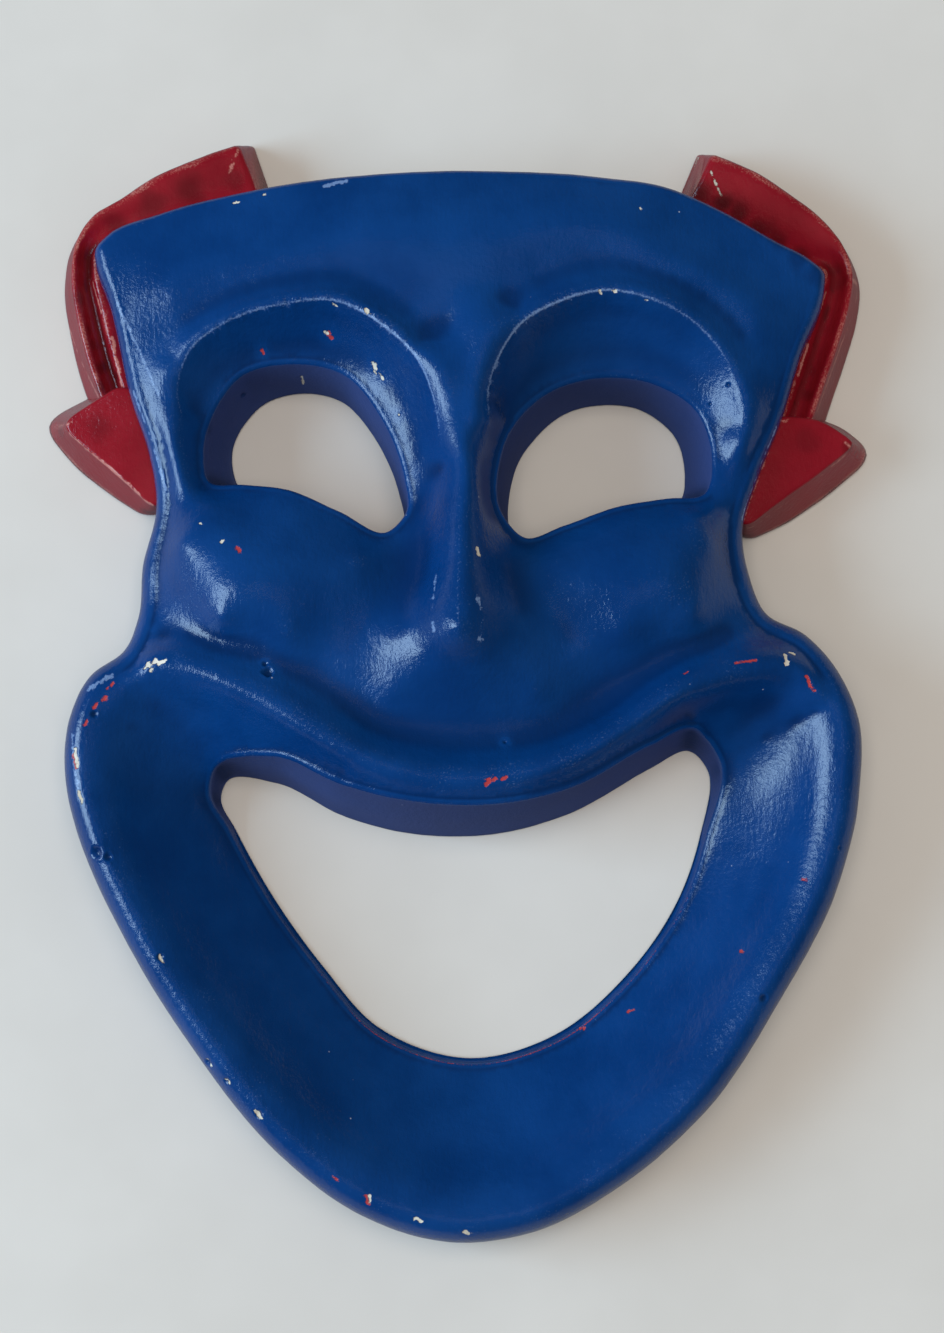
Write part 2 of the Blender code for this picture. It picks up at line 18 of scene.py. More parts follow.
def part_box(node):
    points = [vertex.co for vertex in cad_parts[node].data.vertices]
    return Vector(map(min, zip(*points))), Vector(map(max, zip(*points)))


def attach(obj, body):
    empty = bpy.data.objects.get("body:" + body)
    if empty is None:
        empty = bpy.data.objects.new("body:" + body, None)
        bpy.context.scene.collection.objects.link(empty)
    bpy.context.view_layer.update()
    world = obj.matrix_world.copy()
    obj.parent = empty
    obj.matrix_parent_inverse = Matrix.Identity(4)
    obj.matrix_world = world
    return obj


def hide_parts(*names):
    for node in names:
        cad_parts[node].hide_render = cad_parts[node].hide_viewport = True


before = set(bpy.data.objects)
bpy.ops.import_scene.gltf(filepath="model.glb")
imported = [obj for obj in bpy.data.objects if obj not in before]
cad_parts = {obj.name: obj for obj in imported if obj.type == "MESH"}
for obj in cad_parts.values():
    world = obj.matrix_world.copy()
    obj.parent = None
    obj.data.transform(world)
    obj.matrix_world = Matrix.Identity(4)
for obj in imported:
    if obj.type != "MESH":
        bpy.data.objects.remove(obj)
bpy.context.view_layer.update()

# Sizes shared with the solid
MASK_LENGTH = 0.230
RELIEF_DEPTH = 0.043
OUTER_DRAFT = 0.0012
EDGE_STEEPNESS = 1.6
HOLE_EDGE_RADIUS = 0.0014
RIBBON_HEIGHT = 0.0132
RIBBON_DRAFT = 0.0032
RIBBON_END_LEAN = 0.0037
RIBBON_LIFT = 0.0010
RIBBON_EMBED = 0.0030
TAIL_EDGE = 0.0009
TAIL_CORNER = 0.0014
LEAST_SLOPE_WIDTH = 0.0045
NOSE_CLEARANCE = 0.0110
CARVING_STEP = 0.0030
LEAST_LINE_GAP = 0.0009
PARTNER_REACH = 0.0022
EDGE_CLEARANCE = 0.0028
ROLL_CLEARANCE = 0.0070
FACET = 0.0031
SMOOTHING_STEPS = 24
SHEET_STIFFNESS = 2e-5

# Fineness of the detailed surface
FINE = 0.00082
RIBBON_FINE = 0.0008
LINE_FINE = 0.0004
BACK_FINE = 0.0024
WALL_STEPS = 11
HOLE_WALL_STEPS = 13
EDGE_TURNS = [0, 12, 24, 36, 48, 60, 70, 80, 90]
TAIL_WALL_STEPS = 9
TAIL_EDGE_TURNS = [0, 22, 45, 68, 90]
# The foot's rounding, and the share of it at which its middle ring lies
FOOT_ROUNDING = 0.0006
FOOT_MIDDLE = 0.3
# Least gaps between a surface's points and the lines that they meet, as shares of their spacing
CREASE_CLEARANCE = 0.5
GRID_CLEARANCE = 0.62
# The triangulation works in millimetres, with this tolerance
TO_MILLIMETRES = 1000
TRIANGLE_TOLERANCE = 1e-7
# Faces are split round the marks, and along the crests whose pale line, wear and partly a painted highlight,
# is stronger than this
MARK_MARGIN = 0.0008
MARK_CUTS = 2
CREST_LEAST_WEAR = 0.3
CREST_SKIP = 3
CREST_FINE = 0.0011
CREST_CUTS = 1
# Rounds of averaging that find what stands proud on the face and on a ribbon
CREST_ROUNDS = 7
RIM_ROUNDS = 2

# The view
VIEW_WIDTH, VIEW_HEIGHT = 944, 1333
FOCAL_PIXELS = 2300
VIEW_TILT = np.radians(8.0)
VIEW_DISTANCE = 0.4973
SENSOR_MILLIMETRES = 36.0
NEAREST_SEEN = 0.01

# The outer edge: plan position, height, radius of its rounding in millimetres
OUTLINE = [
    (-34.9, 36.4, 50, 3.0), (-35.0, 37.9, 50, 2.6), (-33.9, 39.2, 50, 2.3), (-28.9, 41.2, 52, 2.1),
    (-20.7, 43.0, 57, 2.0), (-10.4, 44.2, 62, 2.0), (0.7, 44.5, 64, 2.0), (11.9, 44.0, 62, 2.0),
    (17.6, 43.3, 60, 2.0), (22.7, 41.3, 57, 2.0), (28.2, 38.4, 53, 2.0), (31.4, 36.8, 51, 2.2),
    (32.7, 35.6, 50, 2.4), (32.7, 34.1, 49, 2.6), (30.3, 27.6, 48, 2.6), (28.5, 21.8, 45, 2.6),
    (26.4, 16.6, 45, 3.0), (24.9, 11.5, 45, 3.4), (25.4, 7.6, 47, 4.0), (26.9, 3.8, 50, 4.0),
    (30.3, 1.8, 54, 4.2), (33.0, -1.5, 58, 4.5), (34.8, -5.9, 60, 4.8), (34.8, -12.7, 58, 5.0),
    (32.6, -21.4, 56, 5.0), (27.1, -31.6, 54, 5.0), (21.4, -40.0, 53, 5.0), (13.2, -47.2, 52, 5.0),
    (4.9, -51.4, 51, 5.0), (-2.2, -52.1, 51, 5.0), (-9.6, -49.9, 51, 5.0), (-16.9, -44.7, 52, 5.0),
    (-24.4, -35.9, 53, 5.0), (-31.3, -25.1, 55, 5.0), (-35.0, -17.3, 57, 5.0), (-36.6, -11.3, 58, 5.0),
    (-36.3, -6.1, 60, 4.8), (-34.5, -2.1, 59, 4.5), (-31.4, 0.5, 55, 4.2), (-30.5, 3.5, 48, 4.0),
    (-30.2, 8.5, 46, 4.0), (-29.0, 13.9, 47, 3.2), (-29.9, 19.3, 48, 3.0), (-31.3, 23.4, 49, 3.0),
    (-33.8, 33.3, 50, 3.0),
]

# The holes: plan position and height of the front edge, plan position of the foot
MOUTH = [
    (-23.4, -10.4, 33, -22.9, -10.9), (-18.0, -9.5, 54, -18.3, -11.0), (-11.0, -12.4, 65, -11.4, -14.3),
    (-3.7, -14.0, 71, -3.9, -15.9), (2.5, -14.0, 71, 2.5, -15.7), (8.8, -12.5, 68, 9.2, -13.8),
    (16.0, -8.6, 61, 16.7, -9.6), (20.0, -6.9, 45, 20.2, -8.0), (22.6, -9.4, 24, 22.0, -9.9),
    (21.6, -15.9, 8, 21.2, -15.9), (19.4, -22.2, 6, 19.0, -22.0), (14.4, -29.2, 6, 14.1, -28.9),
    (7.8, -34.6, 6, 7.6, -34.2), (-0.2, -36.7, 6, -0.2, -36.3), (-8.8, -33.9, 6, -8.6, -33.5),
    (-14.0, -28.2, 6, -13.7, -28.0), (-19.3, -20.9, 6, -18.9, -20.8), (-22.4, -15.3, 9, -22.0, -15.3),
    (-23.9, -12.4, 21, -23.4, -12.5),
]
EYE_LEFT = [
    (-23.9, 15.8, 48, -22.2, 17.2), (-24.6, 18.7, 43, -22.8, 19.6), (-23.7, 22.6, 42, -22.2, 22.4),
    (-21.1, 26.0, 43, -19.9, 25.2), (-16.7, 27.0, 44, -16.2, 26.3), (-11.9, 26.0, 45, -12.2, 25.3),
    (-8.5, 22.0, 48, -9.0, 21.5), (-6.3, 16.4, 51, -6.9, 16.4), (-6.0, 12.8, 53, -6.5, 13.1),
    (-7.7, 10.9, 56, -7.9, 11.5), (-12.0, 12.7, 58, -11.9, 13.4), (-16.6, 14.7, 57, -16.5, 15.4),
    (-20.8, 15.4, 53, -20.5, 16.3),
]
EYE_RIGHT = [
    (2.7, 18.0, 52, 4.0, 18.4), (4.5, 21.9, 47, 5.7, 21.5), (7.8, 24.6, 45, 8.6, 24.1),
    (11.9, 25.7, 44, 12.0, 25.1), (16.8, 25.0, 45, 16.2, 24.6), (20.5, 22.6, 45, 19.2, 22.2),
    (21.9, 18.4, 45, 20.2, 18.8), (21.2, 14.7, 48, 19.8, 15.9), (17.7, 14.1, 53, 17.5, 15.0),
    (13.0, 13.1, 58, 12.8, 13.9), (8.2, 11.4, 57, 8.3, 12.1), (4.8, 10.4, 55, 5.0, 11.1),
    (2.8, 12.6, 54, 3.6, 13.0),
]
HOLES = (MOUTH, EYE_LEFT, EYE_RIGHT)

# Lines of the carving: plan position and height
BROW_LEFT = [
    (-26.5, 21.6, 51), (-26.9, 24.2, 53), (-25.8, 27.4, 58), (-22.1, 30.0, 64), (-17.2, 31.3, 69),
    (-12.2, 31.4, 72), (-8.4, 29.4, 73), (-4.9, 26.0, 73), (-3.3, 22.0, 72), (-2.8, 18.4, 71),
]
BROW_RIGHT = [
    (1.5, 20.2, 71), (1.5, 23.5, 72), (2.5, 26.4, 73), (4.2, 29.0, 74), (7.6, 31.2, 73),
    (11.9, 32.4, 72), (16.3, 31.7, 70), (20.4, 29.6, 65), (23.4, 26.1, 59), (24.8, 21.5, 55),
]
LIP_CREST = [
    (-34.0, -4.7, 61), (-31.2, -2.1, 61), (-27.1, -1.5, 65), (-20.5, -3.8, 72), (-14.6, -7.5, 75),
    (-8.4, -10.8, 77), (-0.2, -12.4, 78), (6.9, -11.5, 78), (11.3, -9.6, 77), (15.8, -6.5, 76),
    (20.3, -4.0, 73), (24.9, -2.3, 69), (29.5, -2.2, 63), (32.4, -4.7, 61),
]
LIP_VALLEY = [
    (-30.4, 1.2, 47), (-25.9, 1.5, 58), (-22.7, 1.0, 64), (-19.7, -0.3, 66), (-13.5, -3.7, 66),
    (-8.7, -7.1, 66), (-3.7, -8.9, 69), (1.6, -9.2, 70), (7.0, -8.2, 69), (11.9, -5.7, 66),
    (16.0, -2.5, 66), (19.6, 0.0, 64), (23.4, 1.8, 57), (26.1, 3.4, 50),
]
NOSE_RIDGE = [
    (-0.2, 28.9, 76), (-0.7, 23.2, 77), (-0.9, 18.5, 79), (-1.1, 13.7, 84), (-1.1, 8.5, 90),
    (-1.2, 3.8, 97), (-1.2, 0.8, 100),
]
OTHER_LINES = {
    "forehead": [
        (-29.9, 36.5, 53.5), (-20.5, 37.7, 62), (-9.4, 38.7, 70), (0.7, 39.0, 72), (10.8, 38.1, 71),
        (20.1, 36.0, 64), (28.6, 32.9, 53),
    ],
    "brow end left": [(-27.9, 23.5, 53), (-27.3, 19.7, 53), (-26.1, 14.9, 54)],
    "brow end right": [(24.9, 20.3, 53), (24.3, 16.8, 52), (22.4, 12.2, 53)],
    "nose flank left": [(-2.8, 16.2, 67), (-3.6, 11.6, 67), (-4.3, 6.9, 70), (-6.0, 3.1, 74)],
    "nose flank right": [(0.9, 16.2, 70), (1.4, 11.6, 71), (2.9, 6.9, 71), (4.5, 3.1, 74)],
    "nose wings": [(-6.2, 0.3, 78), (-2.8, -1.2, 86), (0.5, -1.4, 86), (4.3, 0.0, 79)],
    "philtrum": [(-6.9, -4.0, 71), (-0.6, -4.9, 72), (5.6, -4.0, 71)],
    "cheek left": [(-29.5, 7.6, 50), (-26.0, 9.5, 63), (-22.1, 7.7, 74), (-20.7, 4.8, 79), (-22.1, 2.4, 74)],
    "cheek right": [(24.0, 7.1, 51), (22.1, 9.6, 60), (19.6, 7.8, 72), (17.6, 5.3, 79), (19.5, 3.0, 74)],
    "upper cheek left": [(-23.4, 13.3, 59), (-15.5, 10.7, 67), (-10.1, 7.9, 69)],
    "upper cheek right": [(19.9, 12.4, 59), (12.5, 10.2, 67), (7.5, 7.4, 69)],
    "lower cheek left": [(-16.2, 1.3, 75), (-10.2, 3.1, 71), (-10.9, -1.3, 69)],
    "lower cheek right": [(13.2, 1.3, 75), (8.2, 3.1, 71), (9.2, -0.9, 69)],
}
CREASES = [BROW_LEFT, BROW_RIGHT, LIP_CREST, NOSE_RIDGE]

# Slopes from a line down to a hole: share of the way, share of the fall
SOCKET_FALL = [(0.14, 0.2), (0.38, 0.5), (0.68, 0.82)]
FUNNEL_FALL = [(0.08, 0.03), (0.18, 0.11), (0.34, 0.32), (0.6, 0.62), (0.82, 0.85)]
# A brow's upper side: distance from its line and fall, in metres
BROW_ROLL = [(0.0026, 0.0005), (0.0062, 0.0017), (0.0100, 0.0013)]

# A ribbon's outer edge from its end to its tail: plan position, width in metres
RIBBON_LEFT = [
    (-22.2, 49.3, 0.0150), (-25.6, 48.1, 0.0150), (-29.7, 46.3, 0.0140), (-33.4, 43.8, 0.0110),
    (-35.8, 42.2, 0.0085), (-37.3, 39.7, 0.0070), (-37.7, 36.7, 0.0075), (-37.1, 32.3, 0.0085),
    (-36.1, 28.4, 0.0085), (-34.0, 22.6, 0.0080),
]
RIBBON_RIGHT = [
    (22.8, 48.4, 0.0150), (24.7, 47.6, 0.0150), (27.2, 46.4, 0.0145), (29.8, 44.6, 0.0135),
    (32.7, 42.3, 0.0110), (34.8, 39.6, 0.0085), (35.8, 36.7, 0.0075), (35.4, 33.3, 0.0080),
    (34.4, 29.9, 0.0082), (33.2, 26.5, 0.0080), (31.1, 20.6, 0.0080),
]
# A tail's corners: plan position and height in metres of its top, plan position of its foot
TAIL_LEFT = [
    (-32.6, 25.6, 0.0150, -33.5, 27.4), (-37.6, 22.6, 0.0128, -40.0, 23.9),
    (-38.0, 21.6, 0.0126, -40.5, 22.4), (-35.4, 19.2, 0.0130, -37.6, 18.9),
    (-32.0, 16.3, 0.0130, -33.8, 16.0), (-29.4, 13.9, 0.0126, -30.7, 14.1),
    (-26.8, 15.6, 0.0126, -26.8, 15.6), (-28.9, 23.9, 0.0150, -28.9, 23.9),
]
TAIL_RIGHT = [
    (29.4, 22.6, 0.0150, 30.7, 24.4), (32.4, 22.3, 0.0140, 35.0, 23.1), (35.3, 20.6, 0.0128, 37.6, 20.9),
    (35.5, 19.9, 0.0126, 37.4, 19.4), (31.9, 17.0, 0.0130, 33.6, 16.2), (28.3, 14.4, 0.0130, 29.6, 13.5),
    (25.3, 12.1, 0.0126, 25.9, 11.8), (23.4, 14.0, 0.0126, 23.4, 14.0), (26.7, 22.3, 0.0150, 26.7, 22.3),
]
# How a tail's corners are cut round, and how much of a section's sides each softening takes
CORNER_CUTS = [1.0, 0.5, 0.25]
MOST_CUT = 0.3
SOFTENING = 0.22
SOFTENING_ROUNDS = 3

# A ribbon's section, from its outer edge to the face: share of its width, height below its rim in metres.
# The first row of sections holds from its end to the bend, the second from the bend to the tail.
SECTION_LEFT = (
    [
        (0.0, 0.0019), (0.03, 0.0008), (0.08, 0.0001), (0.18, 0.0), (0.45, 0.0013), (0.70, 0.0016),
        (0.90, 0.0008), (1.0, 0.0006),
    ],
    [
        (0.0, 0.0013), (0.04, 0.0005), (0.08, 0.0001), (0.14, 0.0), (0.30, 0.0026), (0.55, 0.0030),
        (0.68, 0.0002), (1.0, 0.0012),
    ],
)
SECTION_RIGHT = (
    [
        (0.0, 0.0019), (0.03, 0.0008), (0.08, 0.0001), (0.18, 0.0), (0.45, 0.0008), (0.70, 0.0022),
        (0.90, 0.0034), (1.0, 0.0034),
    ],
    [
        (0.0, 0.0013), (0.04, 0.0005), (0.08, 0.0001), (0.15, 0.0), (0.32, 0.0026), (0.62, 0.0030),
        (0.78, 0.0006), (1.0, 0.0012),
    ],
)
BEND_LEFT, BEND_RIGHT = 0.50, 0.46
BEND_LENGTH = 0.10
SECTION_POINTS = 34
# A ribbon's end: how far it is rounded over, the length of its lean, the distances of its first rings
END_ROUNDING = 0.0012
END_LEAN_FADE = 0.003
END_RINGS = [0.0, 0.00006, 0.0002, 0.0004, 0.0007, 0.0011]

PLAN = MASK_LENGTH / 100
HEIGHT = RELIEF_DEPTH / 100
MILLIMETRE = 0.001

# Marks: pixel where each starts and ends, half width in millimetres
CHIPS = [
    (145, 667, 156, 661, 0.55), (158, 664, 166, 660, 0.35), (147, 663, 151, 664, 0.35),
    (222, 541, 223, 541, 0.5), (477, 548, 479, 555, 0.55), (325, 332, 328, 334, 0.3),
    (366, 310, 370, 314, 0.5), (334, 304, 337, 306, 0.3), (600, 291, 601, 293, 0.35),
    (612, 290, 616, 292, 0.3), (785, 655, 787, 663, 0.6), (790, 652, 795, 654, 0.4),
    (372, 362, 375, 367, 0.5), (380, 374, 383, 379, 0.4), (465, 1232, 470, 1234, 0.5),
    (417, 1219, 421, 1222, 0.5), (75, 750, 77, 766, 0.5), (79, 792, 82, 803, 0.45),
    (302, 376, 303, 384, 0.3), (160, 955, 163, 962, 0.35), (207, 1060, 211, 1065, 0.4),
    (226, 1080, 229, 1083, 0.4), (256, 1112, 260, 1118, 0.45), (234, 203, 238, 202, 0.3),
    (369, 1196, 370, 1203, 0.3), (697, 158, 704, 163, 0.4), (711, 172, 721, 196, 0.22),
    (263, 195, 265, 194, 0.25), (374, 371, 376, 374, 0.2), (398, 414, 399, 415, 0.25),
    (200, 523, 201, 524, 0.22), (645, 300, 648, 300, 0.2), (640, 207, 641, 209, 0.2),
    (150, 671, 153, 669, 0.3),
]
OLD_COATS = [
    (108, 688, 113, 683, 0.35), (103, 702, 106, 697, 0.35), (94, 708, 97, 704, 0.4),
    (85, 725, 87, 720, 0.3), (74, 755, 76, 768, 0.5), (237, 548, 240, 551, 0.4),
    (487, 783, 496, 778, 0.55), (503, 779, 507, 777, 0.35), (736, 663, 756, 660, 0.25),
    (684, 674, 688, 672, 0.3), (806, 676, 814, 690, 0.4), (802, 879, 806, 880, 0.3),
    (740, 951, 744, 952, 0.25), (628, 1012, 634, 1010, 0.25), (580, 1028, 584, 1028, 0.3),
    (329, 333, 331, 337, 0.5), (262, 350, 264, 354, 0.3), (366, 1196, 369, 1204, 0.4),
    (334, 1177, 338, 1180, 0.3), (488, 1057, 512, 1054, 0.3),
]
# Worn strokes, those on the forehead's left edge and on the nose partly painted highlights: pixels of both
# ends, half width in millimetres, strength
STROKES = [
    (70, 434, 112, 470, 0.28, 0.78), (112, 470, 152, 505, 0.32, 0.86), (134, 392, 166, 490, 0.25, 0.73),
    (64, 285, 70, 330, 0.25, 0.68), (70, 330, 98, 396, 0.28, 0.76), (93, 282, 101, 312, 0.28, 0.73),
    (112, 338, 122, 385, 0.28, 0.80), (238, 150, 229, 172, 0.30, 0.68), (68, 425, 130, 386, 0.25, 0.60),
    (776, 428, 742, 520, 0.25, 0.76), (845, 455, 750, 528, 0.30, 0.74), (857, 292, 841, 345, 0.25, 0.73),
    (841, 345, 817, 412, 0.25, 0.78), (826, 292, 812, 330, 0.25, 0.73), (808, 345, 798, 375, 0.25, 0.68),
    (853, 280, 857, 284, 0.40, 0.95), (783, 421, 812, 419, 0.25, 0.60), (812, 419, 850, 446, 0.25, 0.60),
    (116, 300, 160, 398, 0.30, 0.58), (478, 598, 480, 640, 0.50, 0.66), (436, 575, 434, 630, 0.40, 0.64),
    (325, 186, 346, 181, 0.35, 0.80), (88, 690, 112, 676, 0.45, 0.68), (72, 735, 78, 790, 0.35, 0.66),
]
# Dirt and painted shade: pixel, radius in millimetres, strength. The spots along the ribbons' grooves beside
# the face, on the ribbons' ends and in the folds by the nose and the eyes are painted shade.
DIRT_AND_PAINTED_SHADE = [
    (106, 366, 2.4, 1.0), (97, 345, 2.0, 0.7), (115, 378, 1.6, 1.0), (100, 388, 2.0, 0.8),
    (188, 190, 4.5, 0.60), (150, 205, 4.0, 0.55), (118, 228, 3.5, 0.50), (92, 262, 3.5, 0.55),
    (80, 300, 2.5, 0.50), (90, 330, 2.0, 0.55), (262, 156, 5.0, 1.0), (268, 176, 5.0, 1.0),
    (685, 176, 5.5, 1.0), (696, 192, 4.2, 0.95), (722, 204, 3.0, 1.0), (738, 214, 3.2, 0.85),
    (757, 228, 3.2, 0.80), (778, 243, 3.2, 0.75), (798, 257, 3.2, 0.70), (818, 272, 3.0, 0.70),
    (838, 285, 2.5, 0.60), (826, 330, 2.0, 0.45), (812, 372, 2.2, 0.55), (795, 402, 0.9, 1.0),
    (806, 395, 2.4, 0.7), (60, 428, 2.5, 0.45), (100, 425, 3.5, 0.35), (148, 512, 2.2, 0.6),
    (848, 447, 2.0, 0.45), (745, 536, 2.2, 0.55), (805, 440, 3.5, 0.35), (244, 395, 0.8, 1.0),
    (209, 430, 1.6, 0.6), (340, 500, 2.5, 0.45), (160, 520, 2.5, 0.45), (400, 610, 4.0, 0.30),
    (96, 850, 2.2, 0.45), (500, 470, 3.0, 0.35), (235, 180, 3.0, 0.45),
]
# Wear along a line: share of its length, strength. On the brows' and the nose's crests it is partly a painted
# highlight.
BROW_LEFT_WEAR_AND_PAINTED_HIGHLIGHT = [(0.0, 0.3), (0.2, 0.58), (0.5, 0.62), (0.6, 0.8), (0.8, 0.85), (0.95, 0.6), (1.0, 0.1)]
BROW_RIGHT_WEAR_AND_PAINTED_HIGHLIGHT = [(0.0, 0.3), (0.06, 0.78), (0.32, 0.85), (0.5, 0.62), (0.8, 0.5), (1.0, 0.1)]
NOSE_WEAR_AND_PAINTED_HIGHLIGHT = [(0.0, 0.0), (0.4, 0.1), (0.75, 0.3), (1.0, 0.4)]
MOUTH_FLAKING = [
    (0.0, 0.0), (0.44, 0.0), (0.47, 0.42), (0.55, 0.5), (0.64, 0.62), (0.71, 0.52), (0.76, 0.6), (0.85, 0.42),
    (0.93, 0.2), (1.0, 0.0),
]
# Pits: pixel, radius and depth in millimetres
PITS = [
    (94, 714, 0.9, 0.5), (268, 672, 1.3, 0.8), (265, 664, 0.7, 0.4), (764, 998, 1.0, 0.5),
    (710, 404, 0.5, 0.3), (728, 385, 0.6, 0.4), (243, 395, 0.7, 0.5), (96, 853, 1.5, 0.9),
    (108, 857, 1.0, 0.6), (160, 957, 0.9, 0.5), (208, 1062, 0.9, 0.5), (227, 1081, 0.8, 0.4),
    (258, 1114, 1.0, 0.5), (505, 742, 0.5, 0.3), (840, 848, 0.6, 0.3),
]

# Unevenness: height and size of its bumps, seed of its noise
LUMPS = [(0.10e-3, 0.011, 1), (0.05e-3, 0.0042, 2), (0.03e-3, 0.0017, 3)]
BACK_HOLLOWS = [(0.25e-3, 0.018, 4)]
# The marks' ragged edges (share of the half width, size, seed), then their softness and depth in metres
MARK_RAGGEDNESS = [(1.1, 0.0009, 5), (0.7, 0.00045, 6)]
MARK_FULLNESS = 0.85
MARK_REACH = 0.003
MARK_SIDE = (-0.0001, 0.0002)
MARK_FEATHER = 0.0016
STROKE_SIDE = (-0.0004, 0.0001)
CHIP_DEPTH = 0.16e-3
COAT_DEPTH = 0.07e-3
# Pits, and the spots of dirt and painted shade: raggedness and its grain, and the distances in radii between
# which each fades
SPREAD_REACH = 2.4
PIT_EDGE = (0.25, 0.0012)
PIT_SIDE = (0.35, 1.0)
PIT_SOIL = (0.3, 0.95)
PIT_RING_PLACE, PIT_RING_WIDTH, PIT_RING_RISE = 1.15, 0.2, 0.12
DIRT_AND_PAINTED_SHADE_EDGE = (0.5, 0.0035)
DIRT_AND_PAINTED_SHADE_SIDE = (0.25, 1.15)
# How far a point stands proud or lies low where wear, or the painted shade in creases, begins and where it is
# full
CREASE_PAINTED_SHADE = (0.00004, 0.00025)
EDGE_WEAR = (0.00005, 0.00018)
WEAR_PATCH = 0.006
WEAR_MEAN, WEAR_VARIES = 0.8, 0.5
FACE_EDGE_WEAR, RIBBON_EDGE_WEAR = 0.2, 0.5
# The crest lines of the brows and the nose
CREST_WIDTH = 0.0007
CREST_RISE = 0.00010
CREST_FULLNESS = 1.6
WORN_WIDTH = 0.00045
# Steep walls are matt and paler, with thin paint whose paleness is partly a painted sheen: a hole's above
# these Y values, where it is tall, and a ribbon's by this share
STEEP, STEEP_BLEND = 0.45, 0.25
TALL_WALLS = (-0.050, -0.036)
RIBBON_WALL_MATT = 0.35
# The back, and the paint that runs over its edges
BACK_TURN, BACK_LEVEL = -0.9, 0.0005
OVERSPILL = 0.0045
OVERSPILL_BLEND = 0.006
OVERSPILL_RAGGEDNESS, OVERSPILL_PATCH = 0.0035, 0.009

# The colours of each enamel, and of what shows through it
BLUE = {
    "paint": (0.0016, 0.043, 0.185, 1),
    "thick": (0.0008, 0.028, 0.130, 1),
    # thin: thin paint on steep walls, its paleness partly a painted sheen
    "thin_paint_and_painted_sheen": (0.040, 0.062, 0.200, 1),
    # worn: pale worn paint, partly a painted highlight on crests and lit edges
    "worn_and_painted_highlight": (0.22, 0.34, 0.58, 1),
    "coat": (0.42, 0.045, 0.05, 1),
    # grime: dark grime, and the painted shade in creases, grooves and folds
    "grime_and_painted_shade": (0.001, 0.018, 0.085, 1),
}
RED = {
    "paint": (0.28, 0.008, 0.017, 1),
    "thick": (0.19, 0.005, 0.011, 1),
    # thin: thin paint on steep walls, its paleness partly a painted sheen
    "thin_paint_and_painted_sheen": (0.30, 0.010, 0.016, 1),
    # worn: pale worn paint, partly a painted highlight on crests and lit edges
    "worn_and_painted_highlight": (0.62, 0.27, 0.22, 1),
    "coat": (0.55, 0.20, 0.16, 1),
    # grime: dark grime, and the painted shade in creases, grooves and folds
    "grime_and_painted_shade": (0.035, 0.004, 0.004, 1),
}
SPECK = (0.55, 0.56, 0.62, 1)
PLASTER_DARK, PLASTER_PALE, PLASTER_HOLE = (0.50, 0.45, 0.36, 1), (0.70, 0.66, 0.58, 1), (0.30, 0.26, 0.20, 1)
# Roughness of the enamel from its thick places to its thin ones, what each mask adds, and its varnish
PAINT_ROUGHNESS = (0.15, 0.23)
WORN_ROUGHER, MATT_ROUGHER, BARE_ROUGHER = 0.12, 0.75, 0.5
PAINT_GLOSS = 0.42
VARNISH_ROUGHNESS = 0.22
VARNISH = 0.15
# How strongly each mask colours the enamel
THIN_PAINT_AND_PAINTED_SHEEN_TINT, SOIL_AND_PAINTED_SHADE_TINT, WORN_AND_PAINTED_HIGHLIGHT_TINT, SPECK_TINT = 0.7, 0.8, 0.6, 0.6
# Raggedness and softness of the masks' edges
BARE_EDGE, COAT_EDGE, WORN_EDGE = (0.35, 0.05), (0.5, 0.08), (1.1, 0.25)
# Heights in the relief, in shares of its depth in metres
PLASTER_GRAIN, BARE_DROP, COAT_DROP = 0.6, 1.2, 0.6
RELIEF_STRENGTH = 0.8
RELIEF_HEIGHT = 0.00028
# The brush's way across the mask, and how far its streaks are drawn out along it
BRUSH_TURN = (0, 0, 0.6)
BRUSH_STRETCH = (1.0, 0.22, 0.6)

# The floor and the sky, each darker where the gloss reflects it, so that only the window shows in it
FLOOR_SIZE = 6
FLOOR_DROP = 0.0002
FLOOR_DARK, FLOOR_PALE, FLOOR_IN_GLOSS = (0.60, 0.57, 0.53, 1), (0.64, 0.61, 0.57, 1), (0.32, 0.31, 0.31, 1)
FLOOR_ROUGHNESS = 0.85
SKY, SKY_IN_GLOSS = (0.95, 0.97, 1.0, 1), (0.06, 0.08, 0.11, 1)
SKY_STRENGTH = 0.32
# The lights: place, size, watts, colour
WINDOW = ((-1.30, -0.11, 0.79), (0.95, 0.80), 22.5, (0.52, 0.77, 1.0))
OVERHEAD = ((0.0, 0.0, 1.3), (0.7, 0.7), 9.0, (1.0, 0.92, 0.82))
LIT_POINT = (0.0, 0.0, 0.02)


# Curves, grids and sheets


def scaled(rows, *units):
    """The rows as an array in metres, each column times its unit."""
    return np.array(rows, float) * np.array(units)


